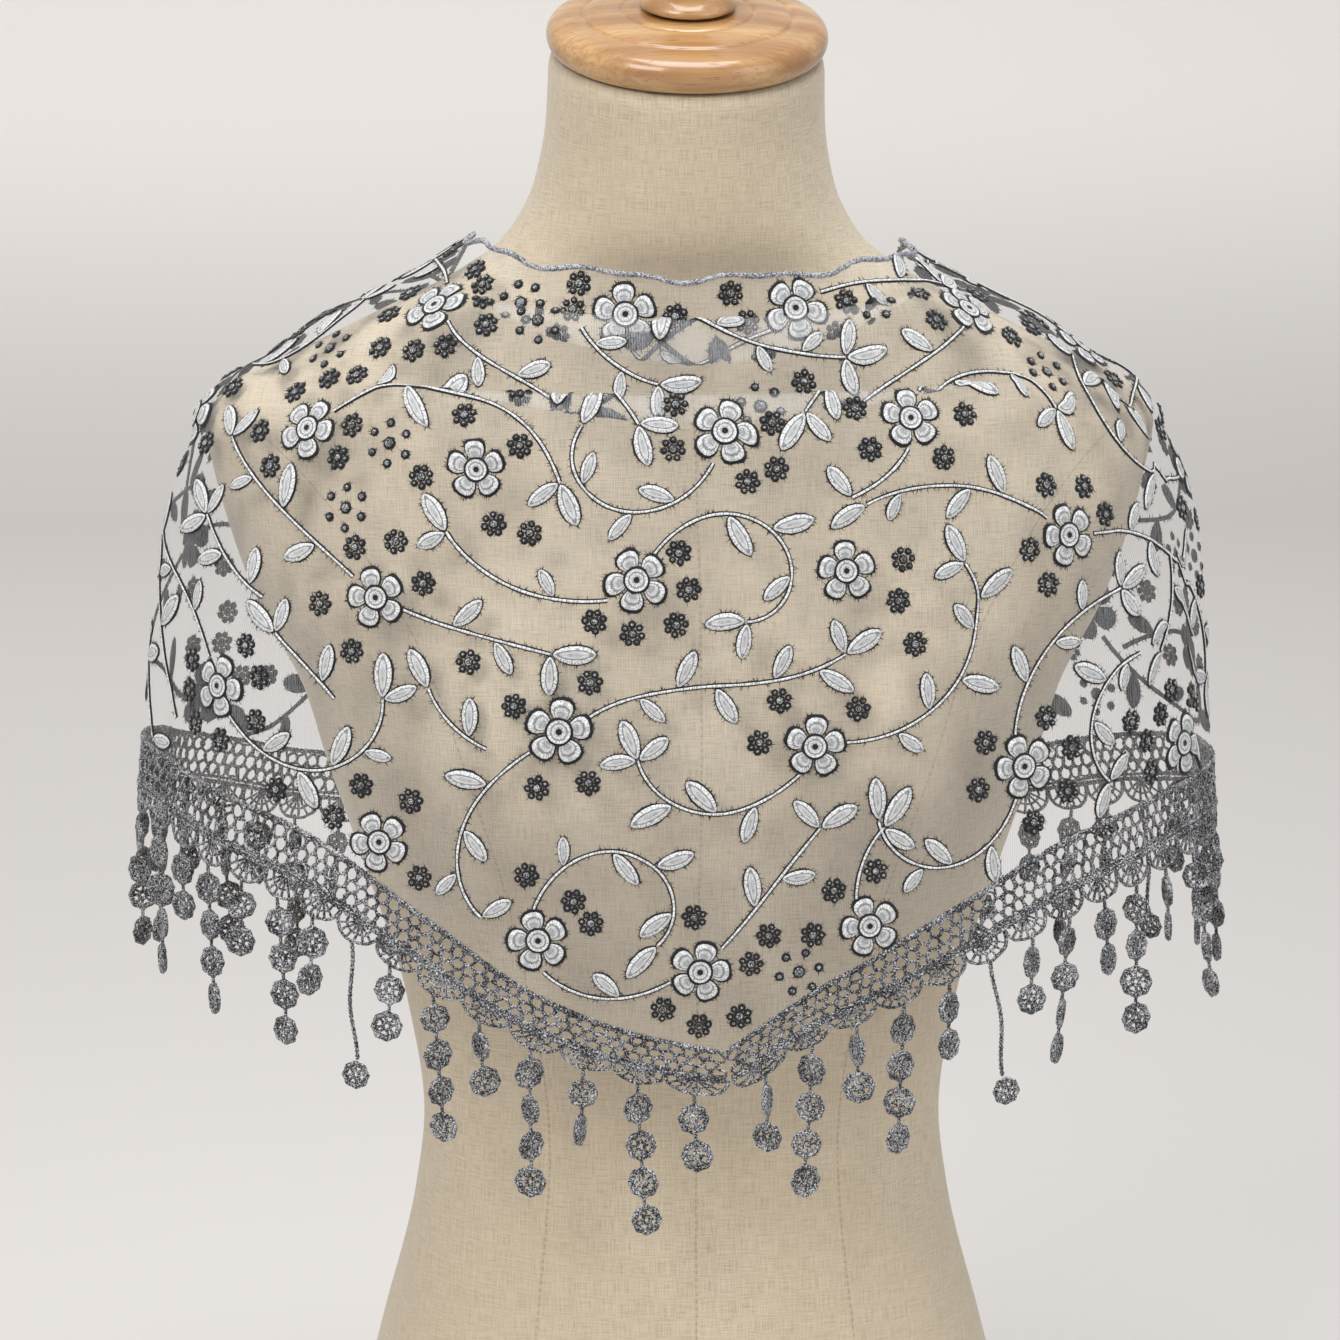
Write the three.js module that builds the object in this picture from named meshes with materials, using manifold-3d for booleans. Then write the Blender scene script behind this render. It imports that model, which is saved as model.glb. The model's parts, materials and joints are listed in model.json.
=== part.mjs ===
// A lace shawl worn point to the front over a linen dress form with a turned wooden neck cap.
// Millimetres, +Z up, +Y away from the front, -X on the left as one looks at the front.
// The origin is the middle of the form's flat underside.
import * as THREE from 'three';
import { mergeVertices } from 'three/addons/utils/BufferGeometryUtils.js';
import Module from 'manifold-3d';

const wasm = await Module();
wasm.setup();

// Driving sizes
const SEAM_GAP = 0.4;
const STRIP_GAP = 0.65;
const CLOTH_WALL = 1.0;
const LACE_WALL = 1.6;
const CLOTH_CLEARANCE = 1.9;
const FORM_SIDES = 36;
const NECK_TILT = THREE.MathUtils.degToRad(18);
const TILT_START_Z = 600;
const APEX_ANGLE = 4;
const SIDE_SPLIT = 78;
const SPLIT_GAP_DEGREES = 0.36;
const BACK_END = 171;
const HOLE_PITCH = 14;
const STRAND_PITCH = 20;
const TAIL_STRAND_PITCH = 32;

// The dress form: half width, reach to front and back, roundness of the section and how far its middle lies back
const FORM = [
  { z: 0, halfWidth: 156, front: 98, back: 110, power: 2.3, middle: 0 },
  { z: 60, halfWidth: 151, front: 96, back: 109, power: 2.3, middle: 0 },
  { z: 145, halfWidth: 130, front: 89, back: 96, power: 2.3, middle: 0 },
  { z: 205, halfWidth: 115, front: 83, back: 83, power: 2.2, middle: 0 },
  { z: 240, halfWidth: 111, front: 82, back: 80, power: 2.2, middle: 0 },
  { z: 290, halfWidth: 118, front: 86, back: 83, power: 2.2, middle: 0 },
  { z: 350, halfWidth: 136, front: 98, back: 90, power: 2.2, middle: 0 },
  { z: 395, halfWidth: 151, front: 108, back: 96, power: 2.2, middle: 0 },
  { z: 425, halfWidth: 160, front: 109, back: 99, power: 2.2, middle: 0 },
  { z: 465, halfWidth: 180, front: 103, back: 101, power: 2.3, middle: 0 },
  { z: 500, halfWidth: 192, front: 90, back: 100, power: 2.3, middle: 0 },
  { z: 520, halfWidth: 197, front: 80, back: 97, power: 2.3, middle: 0 },
  { z: 537, halfWidth: 200, front: 71, back: 92, power: 2.3, middle: 0 },
  { z: 553, halfWidth: 189, front: 64, back: 87, power: 2.2, middle: 0 },
  { z: 568, halfWidth: 158, front: 60, back: 83, power: 2.1, middle: 0 },
  { z: 582, halfWidth: 130, front: 58, back: 79, power: 2.0, middle: 0 },
  { z: 598, halfWidth: 97, front: 57, back: 72, power: 2.0, middle: -2 },
  { z: 615, halfWidth: 74, front: 57, back: 62, power: 2.0, middle: -8 },
  { z: 638, halfWidth: 62, front: 56, back: 56, power: 2.0, middle: -14 },
  { z: 664, halfWidth: 57.5, front: 54.5, back: 54.5, power: 2.0, middle: -20 },
  { z: 690, halfWidth: 56.5, front: 53.7, back: 53.7, power: 2.0, middle: -27 },
];
const BUST = { x: 82, z: 413, reach: 15, spreadX: 44, spreadZ: 52 };

// How the shawl hangs round the form, at each height
const DRAPE = [
  { z: 270, halfWidth: 231, front: 121, back: 131 },
  { z: 340, halfWidth: 228, front: 123, back: 128 },
  { z: 390, halfWidth: 225, front: 122, back: 123 },
  { z: 430, halfWidth: 221, front: 120, back: 119 },
  { z: 470, halfWidth: 217, front: 115, back: 117 },
  { z: 500, halfWidth: 213, front: 109, back: 115 },
  { z: 530, halfWidth: 203, front: 102, back: 111 },
  { z: 546, halfWidth: 193, front: 97, back: 107 },
  { z: 560, halfWidth: 178, front: 92, back: 102 },
  { z: 580, halfWidth: 152, front: 87, back: 96 },
  { z: 590, halfWidth: 131, front: 84, back: 92 },
  { z: 603, halfWidth: 106, front: 80, back: 86 },
  { z: 616, halfWidth: 86, front: 75, back: 78 },
];
const DRAPE_POWER = 2.1;

// Height of the neck edge, height of the body's lower edge and depth of the border, at angles away from the point
const LEFT_EDGES = [
  { angle: 0, neck: 602, hem: 294, border: 16 },
  { angle: 19, neck: 603, hem: 304, border: 18 },
  { angle: 34, neck: 605, hem: 319, border: 22 },
  { angle: 49, neck: 608, hem: 348, border: 28 },
  { angle: 64, neck: 611, hem: 380, border: 30 },
  { angle: 79, neck: 614, hem: 398, border: 29 },
  { angle: 94, neck: 615, hem: 408, border: 28 },
  { angle: 109, neck: 611, hem: 397, border: 29 },
  { angle: 124, neck: 598, hem: 382, border: 29 },
  { angle: 144, neck: 560, hem: 372, border: 28 },
  { angle: 164, neck: 495, hem: 381, border: 26 },
  { angle: 176, neck: 446, hem: 399, border: 22 },
];
const RIGHT_EDGES = [
  { angle: 0, neck: 602, hem: 294, border: 16 },
  { angle: 16, neck: 603, hem: 318, border: 20 },
  { angle: 26, neck: 604, hem: 331, border: 24 },
  { angle: 41, neck: 606, hem: 354, border: 29 },
  { angle: 56, neck: 608, hem: 377, border: 30 },
  { angle: 71, neck: 610, hem: 390, border: 29 },
  { angle: 86, neck: 611, hem: 398, border: 28 },
  { angle: 101, neck: 608, hem: 392, border: 29 },
  { angle: 116, neck: 596, hem: 380, border: 29 },
  { angle: 136, neck: 558, hem: 370, border: 28 },
  { angle: 156, neck: 495, hem: 380, border: 26 },
  { angle: 168, neck: 446, hem: 399, border: 22 },
];

// The two folds of the cowl, from the neck down: the visible ridge, the depth it laps over the layer behind and its reach
const COWL_FOLDS = [
  { ridge: 586, lap: 19, reach: 74, rise: 13 },
  { ridge: 557, lap: 12, reach: 78, rise: 3 },
];

// How a fold is laid: the gap between its layers, the radius of its bends, the height that it stands clear above and
// below, what is left of its lap where it has faded out, and how soon the cloth below it falls back to the drape
const FOLD = { layer: 2.6, bend: 1.4, above: 2.5, below: 5, faded: -6, fadeIn: 0.35, fallBack: 2.2, squeeze: 0.9 };
const NECK_BAND = 5;
const FLUTE_START = 160;

// Soft flutes in the loose cloth, as waves round the form: where they are strongest, how wide, how deep, how many degrees
const FLUTES = [
  { angle: -104, spread: 32, depth: 6, wave: 17 },
  { angle: 100, spread: 30, depth: 5, wave: 19 },
  { angle: -158, spread: 22, depth: 5, wave: 11 },
  { angle: 160, spread: 22, depth: 5, wave: 12 },
];

// The tied ends, and how the lace lies beside them
const TAIL_LACE_SETBACK = 14;
const TAIL_LACE_DEPTH = 24;
const EDGE_HOLD = 0.8;
const KNOT = { y: 123, z: 422, halfWidth: 18.5, halfDepth: 15, halfHeight: 24, power: 3.4, ends: 0.78, sides: 16, rings: 8 };
const TAIL_TOP_Z = 397.5;
const TAILS = {
  right: [
    { drop: 0, inner: 3, outer: 15, y: 127, wave: 3 },
    { drop: 25, inner: 3, outer: 42, y: 140, wave: 6 },
    { drop: 60, inner: 2, outer: 66, y: 144, wave: 8 },
    { drop: 110, inner: 0, outer: 55, y: 146, wave: 8 },
    { drop: 170, inner: -2, outer: 34, y: 147, wave: 6 },
    { drop: 225, inner: -3, outer: 16, y: 147, wave: 3 },
    { drop: 250, inner: -3, outer: 5, y: 147, wave: 1 },
  ],
  left: [
    { drop: 0, inner: -3, outer: -15, y: 127, wave: 3 },
    { drop: 25, inner: -5, outer: -45, y: 139, wave: 6 },
    { drop: 60, inner: -12, outer: -72, y: 142, wave: 8 },
    { drop: 105, inner: -20, outer: -68, y: 143, wave: 8 },
    { drop: 155, inner: -27, outer: -54, y: 144, wave: 6 },
    { drop: 200, inner: -33, outer: -42, y: 144, wave: 2 },
  ],
};
const TAIL_WAVES = 2.5;

// The cap and its knob, as radius and height along their own tilted axis
const CAP_OUTLINE = [
  [0, 0], [53, 0], [56.5, 2.5], [58, 7], [57, 11.5], [53.5, 14.5], [44.5, 16.2], [43, 15.0], [41.5, 16.8],
  [28.5, 18.4], [27, 17.2], [25.5, 18.8], [0, 18.8],
];
const KNOB_OUTLINE = [
  [0, 0], [19.5, 0], [20, 3], [17, 6], [11, 9], [8.5, 15], [9, 20], [13.5, 24], [17, 30], [17.5, 36], [14.5, 42.5],
  [8, 46.5], [0, 47.8],
];
const TURNED_SIDES = 24;

// Steps of the cloth walls: down and across each stretch
const FRONT_STEPS = { below: 9, left: 10, right: 9 };
const BACK_STEPS = { down: 12, across: 13, closeness: 1.3 };
const TAIL_STEPS = { down: 11, across: 10 };

// Reads a smooth value between the rows of a table, level at its turning points
function readTable(table, key, at, column) {
  const last = table.length - 1;
  let row = 0;
  while (row < last - 1 && at > table[row + 1][key]) {
    row += 1;
  }
  const slope = (i) => (table[i + 1][column] - table[i][column]) / (table[i + 1][key] - table[i][key]);
  const shared = (a, b) => (a * b <= 0 ? 0 : (2 * a * b) / (a + b));
  const here = slope(row);
  const before = row > 0 ? shared(slope(row - 1), here) : here;
  const after = row < last - 1 ? shared(here, slope(row + 1)) : here;
  const step = table[row + 1][key] - table[row][key];
  const t = THREE.MathUtils.clamp((at - table[row][key]) / step, 0, 1);
  const start = table[row][column];
  const end = table[row + 1][column];
  return start * (1 + 2 * t) * (1 - t) ** 2
    + end * t * t * (3 - 2 * t)
    + before * step * t * (1 - t) ** 2
    - after * step * t * t * (1 - t);
}

const radians = (degrees) => (degrees * Math.PI) / 180;

// Distance from the middle to a rounded section, at an angle from the front
function sectionRadius(angle, halfWidth, front, back, power) {
  const reach = Math.cos(angle) >= 0 ? front : back;
  const across = Math.abs(Math.sin(angle) / halfWidth) ** power;
  const along = Math.abs(Math.cos(angle) / reach) ** power;
  return (across + along) ** (-1 / power);
}

function formMiddle(z) {
  return readTable(FORM, 'z', z, 'middle');
}

function formRadius(angle, z) {
  const row = (column) => readTable(FORM, 'z', z, column);
  const plain = sectionRadius(angle, row('halfWidth'), row('front'), row('back'), row('power'));
  const x = plain * Math.sin(angle);
  const inFront = Math.cos(angle) > 0 ? Math.cos(angle) : 0;
  const offX = (Math.abs(x) - BUST.x) / BUST.spreadX;
  const offZ = (z - BUST.z) / BUST.spreadZ;
  return plain + BUST.reach * inFront * Math.exp(-offX * offX - offZ * offZ);
}

// A wall of even thickness over a grid of points, with open cells left out
function wall(points, thickness, isOpen = () => false) {
  const rows = points.length;
  const columns = points[0].length;
  const at = (i, j) => points[THREE.MathUtils.clamp(i, 0, rows - 1)][THREE.MathUtils.clamp(j, 0, columns - 1)];
  const positions = [];
  for (const side of [0.5, -0.5]) {
    for (let i = 0; i < rows; i += 1) {
      for (let j = 0; j < columns; j += 1) {
        const along = at(i + 1, j).clone().sub(at(i - 1, j));
        const across = at(i, j + 1).clone().sub(at(i, j - 1));
        const normal = along.cross(across).normalize();
        positions.push(...at(i, j).clone().addScaledVector(normal, side * thickness).toArray());
      }
    }
  }
  const front = (i, j) => i * columns + j;
  const rear = (i, j) => rows * columns + front(i, j);
  const solid = (i, j) => i >= 0 && j >= 0 && i < rows - 1 && j < columns - 1 && !isOpen(i, j);
  const index = [];
  const quad = (a, b, c, d) => index.push(a, b, c, a, c, d);
  for (let i = 0; i < rows - 1; i += 1) {
    for (let j = 0; j < columns - 1; j += 1) {
      if (!solid(i, j)) {
        continue;
      }
      quad(front(i, j), front(i + 1, j), front(i + 1, j + 1), front(i, j + 1));
      quad(rear(i, j), rear(i, j + 1), rear(i + 1, j + 1), rear(i + 1, j));
      if (!solid(i - 1, j)) {
        quad(front(i, j), front(i, j + 1), rear(i, j + 1), rear(i, j));
      }
      if (!solid(i + 1, j)) {
        quad(front(i + 1, j + 1), front(i + 1, j), rear(i + 1, j), rear(i + 1, j + 1));
      }
      if (!solid(i, j - 1)) {
        quad(front(i + 1, j), front(i, j), rear(i, j), rear(i + 1, j));
      }
      if (!solid(i, j + 1)) {
        quad(front(i, j + 1), front(i + 1, j + 1), rear(i + 1, j + 1), rear(i, j + 1));
      }
    }
  }
  const geometry = new THREE.BufferGeometry();
  geometry.setAttribute('position', new THREE.Float32BufferAttribute(positions, 3));
  geometry.setIndex(index);
  return geometry;
}

// A solid through closed rings of points, with a flat cap at each end
function loft(rings) {
  const count = rings[0].length;
  const positions = rings.flat().flatMap((point) => point.toArray());
  const index = [];
  for (let i = 0; i < rings.length - 1; i += 1) {
    for (let j = 0; j < count; j += 1) {
      const next = (j + 1) % count;
      const a = i * count + j;
      const b = i * count + next;
      index.push(a, b, b + count, a, b + count, a + count);
    }
  }
  const top = (rings.length - 1) * count;
  for (let j = 1; j < count - 1; j += 1) {
    index.push(0, j + 1, j, top, top + j, top + j + 1);
  }
  const geometry = new THREE.BufferGeometry();
  geometry.setAttribute('position', new THREE.Float32BufferAttribute(positions, 3));
  geometry.setIndex(index);
  return geometry;
}

// The linen body, with its neck leaning forward under a tilted top
function dressForm() {
  const rings = FORM.map((row) => {
    const ring = [];
    for (let side = 0; side < FORM_SIDES; side += 1) {
      const turn = radians((360 * side) / FORM_SIDES);
      const angle = Math.atan2(row.halfWidth * Math.sin(turn), row.front * Math.cos(turn));
      const radius = formRadius(angle, row.z);
      const y = -radius * Math.cos(angle);
      const tilt = THREE.MathUtils.clamp((row.z - TILT_START_Z) / (FORM.at(-1).z - TILT_START_Z), 0, 1);
      const z = row.z + y * Math.tan(NECK_TILT) * tilt;
      ring.push(new THREE.Vector3(radius * Math.sin(angle), row.middle + y, z));
    }
    return ring;
  });
  return loft(rings);
}

function turned(outline) {
  const profile = outline.map(([radius, height]) => new THREE.Vector2(radius, height));
  const geometry = new THREE.LatheGeometry(profile, TURNED_SIDES);
  geometry.rotateX(Math.PI / 2);
  return geometry;
}

// The shawl's edges at an angle in degrees, left of the point being below APEX_ANGLE
function edgeValue(angle, column) {
  const away = angle - APEX_ANGLE;
  return away < 0
    ? readTable(LEFT_EDGES, 'angle', -away, column)
    : readTable(RIGHT_EDGES, 'angle', away, column);
}

// A point of the hanging cloth at an angle in degrees and a height, moved out by lift
function drapePoint(angle, z, lift = 0) {
  const turn = radians(angle);
  const row = (column) => readTable(DRAPE, 'z', z, column);
  const free = sectionRadius(turn, row('halfWidth'), row('front'), row('back'), DRAPE_POWER);
  const touching = formRadius(turn, z - CLOTH_CLEARANCE) + CLOTH_CLEARANCE;
  const gap = free - touching;
  const radius = (free + touching + Math.sqrt(gap * gap + 1)) / 2;
  const depth = THREE.MathUtils.clamp((edgeValue(angle, 'neck') - z) / FLUTE_START, 0, 1);
  let flute = 0;
  for (const { angle: centre, spread, depth: size, wave } of FLUTES) {
    const away = (angle - centre) / spread;
    flute += size * depth * Math.exp(-away * away) * (1 + Math.cos(radians((360 * (angle - centre)) / wave))) / 2;
  }
  const reach = radius + lift + flute;
  return new THREE.Vector3(reach * Math.sin(turn), formMiddle(z) - reach * Math.cos(turn), z);
}

// Heights and lifts of the rows across the cloth at an angle, from the neck edge to the lower edge
function clothRows(angle) {
  const neck = edgeValue(angle, 'neck');
  const hem = edgeValue(angle, 'hem');
  const rows = [[neck, 0], [neck - NECK_BAND, 0]];
  let layer = 0;
  for (const fold of COWL_FOLDS) {
    const away = Math.min(Math.abs(angle) / fold.reach, 1);
    const strength = (1 - away * away) ** 1.5;
    const ridge = fold.ridge + fold.rise * (1 - Math.cos(radians(90 * away)));
    const lap = fold.lap * strength + FOLD.faded * (1 - strength);
    const low = ridge - lap;
    const turn = THREE.MathUtils.clamp(lap / 3, -FOLD.bend, FOLD.bend);
    const lift = FOLD.layer * THREE.MathUtils.smoothstep(strength, 0, FOLD.fadeIn);
    rows.push([Math.max(low, ridge) + FOLD.above, layer * FOLD.squeeze]);
    rows.push([low + FOLD.bend, layer]);
    rows.push([low, layer + lift / 2]);
    rows.push([low + turn, layer + lift]);
    rows.push([ridge - turn, layer + lift]);
    rows.push([ridge, layer + lift * 1.5]);
    rows.push([ridge - FOLD.bend, layer + lift * 2]);
    layer += lift * 2;
    rows.push([ridge - Math.max(lap, 0) - FOLD.below, layer]);
  }
  const start = rows.at(-1)[0];
  for (let i = 1; i <= FRONT_STEPS.below; i += 1) {
    const part = i / FRONT_STEPS.below;
    rows.push([start + (hem - start) * part, layer * Math.max(0, 1 - part * FOLD.fallBack)]);
  }
  return rows;
}

// Angles from one to another, closer together where the cloth turns round the shoulders
function anglesBetween(from, to, count) {
  const widthToDepth = 1.6;
  const spread = (angle) => Math.atan2(Math.sin(radians(angle)), widthToDepth * Math.cos(radians(angle)));
  const start = spread(from);
  const end = spread(to);
  return Array.from({ length: count + 1 }, (_, i) => {
    const at = start + ((end - start) * i) / count;
    return (Math.atan2(widthToDepth * Math.sin(at), Math.cos(at)) * 180) / Math.PI;
  });
}

const FRONT_ANGLES = [
  ...anglesBetween(-SIDE_SPLIT, APEX_ANGLE, FRONT_STEPS.left),
  ...anglesBetween(APEX_ANGLE, SIDE_SPLIT, FRONT_STEPS.right).slice(1),
];

function frontPoints() {
  return FRONT_ANGLES.map((angle) => clothRows(angle).map(([z, lift]) => drapePoint(angle, z, lift)));
}

function backPoints(sign) {
  const angles = anglesBetween(SIDE_SPLIT + SPLIT_GAP_DEGREES, BACK_END, BACK_STEPS.across);
  const ordered = sign > 0 ? angles : angles.map((angle) => -angle).reverse();
  return ordered.map((angle) => {
    const neck = edgeValue(angle, 'neck');
    const hem = edgeValue(angle, 'hem');
    return Array.from({ length: BACK_STEPS.down + 1 }, (_, i) => {
      const part = (i / BACK_STEPS.down) ** BACK_STEPS.closeness;
      return drapePoint(angle, neck + (hem - neck) * part);
    });
  });
}

// A line through points, read by the distance along it
function lineThrough(points) {
  const lengths = [0];
  for (let i = 1; i < points.length; i += 1) {
    lengths.push(lengths[i - 1] + points[i].distanceTo(points[i - 1]));
  }
  const total = lengths.at(-1);
  const at = (distance) => {
    const wanted = THREE.MathUtils.clamp(distance, 0, total);
    let i = 1;
    while (i < points.length - 1 && lengths[i] < wanted) {
      i += 1;
    }
    const part = (wanted - lengths[i - 1]) / (lengths[i] - lengths[i - 1]);
    return points[i - 1].clone().lerp(points[i], part);
  };
  return { total, at };
}

const lowered = (point, distance) => point.clone().setZ(point.z - distance);
const angleOf = (point) => (Math.atan2(point.x, -point.y) * 180) / Math.PI;

// Bands across the border, as parts of its depth: the one between the middle two is the row of gaps
const BORDER_BANDS = [0, 0.36, 0.72, 1];
const GAP_SHARE = 0.5;

// Rows of the border under a line along the body's lower edge
function borderRows(edge) {
  const line = lineThrough(edge);
  const count = Math.round(line.total / HOLE_PITCH);
  const pitch = line.total / count;
  const distances = [0];
  for (let i = 0; i < count; i += 1) {
    distances.push((i + 0.5 - GAP_SHARE / 2) * pitch, (i + 0.5 + GAP_SHARE / 2) * pitch);
  }
  distances.push(line.total);
  return distances.map((distance) => {
    const top = lowered(line.at(distance), SEAM_GAP);
    const angle = angleOf(top);
    const depth = edgeValue(angle, 'border');
    const below = BORDER_BANDS.slice(1).map((band) => drapePoint(angle, top.z - depth * band));
    return [top, ...below];
  });
}

const isGap = (i, j) => j === 1 && i % 2 === 1;
const everyOther = (list) => list.filter((_, i) => i % 2 === 0 || i === list.length - 1);

function toSolid(geometry) {
  const bare = geometry.clone();
  bare.deleteAttribute('normal');
  bare.deleteAttribute('uv');
  const merged = mergeVertices(bare, 1e-4);
  return new wasm.Manifold(new wasm.Mesh({
    numProp: 3,
    vertProperties: new Float32Array(merged.attributes.position.array),
    triVerts: new Uint32Array(merged.index.array),
  }));
}

function toGeometry(solid) {
  const mesh = solid.getMesh();
  const geometry = new THREE.BufferGeometry();
  geometry.setAttribute('position', new THREE.Float32BufferAttribute(mesh.vertProperties, 3));
  geometry.setIndex(Array.from(mesh.triVerts));
  return geometry;
}

// Crocheted discs on a strand, one under another on short links
const DISC = { halfWidth: 6.4, height: 13, link: 2.2 };
const STRAND = { halfWidth: 1.0, thickness: 1.8, stem: 4, shortDiscs: 2, longDiscs: 4 };
const STRIP = { depth: 3, thickness: 2.2 };

function strand(root, side, out, discs) {
  const drops = [[0, STRAND.halfWidth], [STRAND.stem, STRAND.halfWidth]];
  for (let disc = 0; disc < discs; disc += 1) {
    const start = STRAND.stem + disc * (DISC.height + DISC.link);
    drops.push([start + DISC.height / 2, DISC.halfWidth]);
    drops.push([start + DISC.height, STRAND.halfWidth]);
  }
  const rings = drops.map(([drop, halfWidth]) => {
    const middle = root.clone().setZ(root.z - drop);
    return [
      middle.clone().addScaledVector(side, halfWidth).addScaledVector(out, -STRAND.thickness / 2),
      middle.clone().addScaledVector(out, STRAND.thickness / 2),
      middle.clone().addScaledVector(side, -halfWidth).addScaledVector(out, -STRAND.thickness / 2),
    ];
  });
  return loft(rings);
}

// A narrow strip under the border with its strands, as one piece
function fringe(strip, strandRoots) {
  const solids = [toSolid(wall(strip, STRIP.thickness))];
  strandRoots.forEach(({ root, side, out }, i) => {
    solids.push(toSolid(strand(root, side, out, i % 2 === 0 ? STRAND.shortDiscs : STRAND.longDiscs)));
  });
  return toGeometry(wasm.Manifold.union(solids));
}

// The fringe under the lower edge of a border
function hemFringe(rows) {
  const low = everyOther(rows).map((row) => lowered(row.at(-1), STRIP_GAP));
  const line = lineThrough(low);
  const count = Math.round(line.total / STRAND_PITCH);
  const pitch = line.total / count;
  const roots = Array.from({ length: count }, (_, i) => {
    const distance = (i + 0.5) * pitch;
    const side = line.at(distance + DISC.link).sub(line.at(distance - DISC.link)).setZ(0).normalize();
    const out = new THREE.Vector3(side.y, -side.x, 0);
    return { root: lowered(line.at(distance), STRIP.depth / 2), side, out };
  });
  return fringe(low.map((point) => [point, lowered(point, STRIP.depth)]), roots);
}

function knot() {
  const rings = [];
  for (let i = 0; i <= KNOT.rings; i += 1) {
    const lift = -1 + (2 * i) / KNOT.rings;
    const size = KNOT.ends + (1 - KNOT.ends) * (1 - Math.abs(lift) ** KNOT.power) ** (1 / KNOT.power);
    const ring = [];
    for (let side = 0; side < KNOT.sides; side += 1) {
      const turn = radians((360 * side) / KNOT.sides);
      const radius = size * sectionRadius(turn, KNOT.halfWidth, KNOT.halfDepth, KNOT.halfDepth, KNOT.power);
      const x = radius * Math.sin(turn);
      const y = KNOT.y - radius * Math.cos(turn);
      ring.push(new THREE.Vector3(x, y, KNOT.z + KNOT.halfHeight * lift));
    }
    rings.push(ring);
  }
  return loft(rings);
}

// A hanging end: drop is how far down, across runs from its long edge to its lace edge
function tailPoint(rows, drop, across) {
  const inner = readTable(rows, 'drop', drop, 'inner');
  const outer = readTable(rows, 'drop', drop, 'outer');
  const wave = readTable(rows, 'drop', drop, 'wave');
  const y = readTable(rows, 'drop', drop, 'y') + wave * Math.sin(2 * Math.PI * TAIL_WAVES * across);
  return new THREE.Vector3(inner + (outer - inner) * across, y, TAIL_TOP_Z - drop);
}

function tailCloth(rows) {
  const { down, across } = TAIL_STEPS;
  const length = rows.at(-1).drop;
  const points = Array.from({ length: down + 1 }, (_, i) => (
    Array.from({ length: across + 1 }, (_unused, j) => tailPoint(rows, (length * i) / down, j / across))
  ));
  return rows.at(0).outer < 0 ? points : points.map((row) => row.reverse());
}

// A point beside a tail's lace edge, moved out from it by a distance
function besideTail(rows, drop, distance) {
  const edge = tailPoint(rows, drop, 1);
  const probe = 2;
  const after = tailPoint(rows, Math.min(drop + probe, rows.at(-1).drop), 1);
  const before = tailPoint(rows, Math.max(drop - probe, 0), 1);
  const along = after.sub(before).setY(0).normalize();
  const sign = Math.sign(rows[0].outer);
  return edge.add(new THREE.Vector3(-along.z * sign, 0, along.x * sign).multiplyScalar(distance));
}

// The lace of a tail starts where the tail is widest
function laceSpan(rows) {
  const widest = rows.reduce((best, row) => (Math.abs(row.outer) > Math.abs(best.outer) ? row : best));
  const start = widest.drop + TAIL_LACE_SETBACK;
  const span = rows.at(-1).drop - start;
  const count = Math.round(span / HOLE_PITCH);
  const drops = [start];
  for (let i = 0; i < count; i += 1) {
    drops.push(start + ((i + 0.5 - GAP_SHARE / 2) * span) / count);
    drops.push(start + ((i + 0.5 + GAP_SHARE / 2) * span) / count);
  }
  drops.push(start + span);
  return { start, span, drops };
}

function tailBorder(rows) {
  const points = laceSpan(rows).drops.map((drop) => (
    BORDER_BANDS.map((band) => besideTail(rows, drop, EDGE_HOLD + TAIL_LACE_DEPTH * band))
  ));
  const ordered = rows[0].outer < 0 ? points : points.map((row) => row.reverse());
  return wall(ordered, LACE_WALL, isGap);
}

function tailFringe(rows) {
  const { start, span, drops } = laceSpan(rows);
  const count = Math.round(span / TAIL_STRAND_PITCH);
  const low = EDGE_HOLD + TAIL_LACE_DEPTH + STRIP_GAP;
  const strip = everyOther(drops).map((drop) => [besideTail(rows, drop, low), besideTail(rows, drop, low + STRIP.depth)]);
  const roots = Array.from({ length: count }, (_, i) => ({
    root: besideTail(rows, start + ((i + 0.5) * span) / count, low + STRIP.depth / 2),
    side: new THREE.Vector3(0, Math.sign(rows[0].outer), 0),
    out: new THREE.Vector3(Math.sign(rows[0].outer), 0, 0),
  }));
  return fringe(rows[0].outer < 0 ? strip : strip.map((row) => row.reverse()), roots);
}

const FINISH = {
  linen: new THREE.MeshStandardMaterial({ color: 0xcdbfa6, roughness: 0.95, metalness: 0 }),
  wood: new THREE.MeshStandardMaterial({ color: 0xc8935c, roughness: 0.3, metalness: 0 }),
  tulle: new THREE.MeshStandardMaterial({ color: 0xc9c9c8, roughness: 0.8, metalness: 0 }),
  lace: new THREE.MeshStandardMaterial({ color: 0x77787d, roughness: 0.9, metalness: 0 }),
};

const shawl = new THREE.Group();

function add(name, geometry, material) {
  const mesh = new THREE.Mesh(geometry, material);
  mesh.name = name;
  shawl.add(mesh);
  return mesh;
}

add('dress_form', dressForm(), FINISH.linen);
const neckTop = FORM.at(-1);
const onNeck = (height) => new THREE.Vector3(
  0,
  neckTop.middle - height * Math.sin(NECK_TILT),
  neckTop.z + height * Math.cos(NECK_TILT),
);
const cap = add('neck_cap', turned(CAP_OUTLINE), FINISH.wood);
cap.rotation.x = NECK_TILT;
cap.position.copy(onNeck(SEAM_GAP));
const knob = add('cap_knob', turned(KNOB_OUTLINE), FINISH.wood);
knob.rotation.x = NECK_TILT;
knob.position.copy(onNeck(CAP_OUTLINE.at(-1)[1] + SEAM_GAP * 2));

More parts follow.
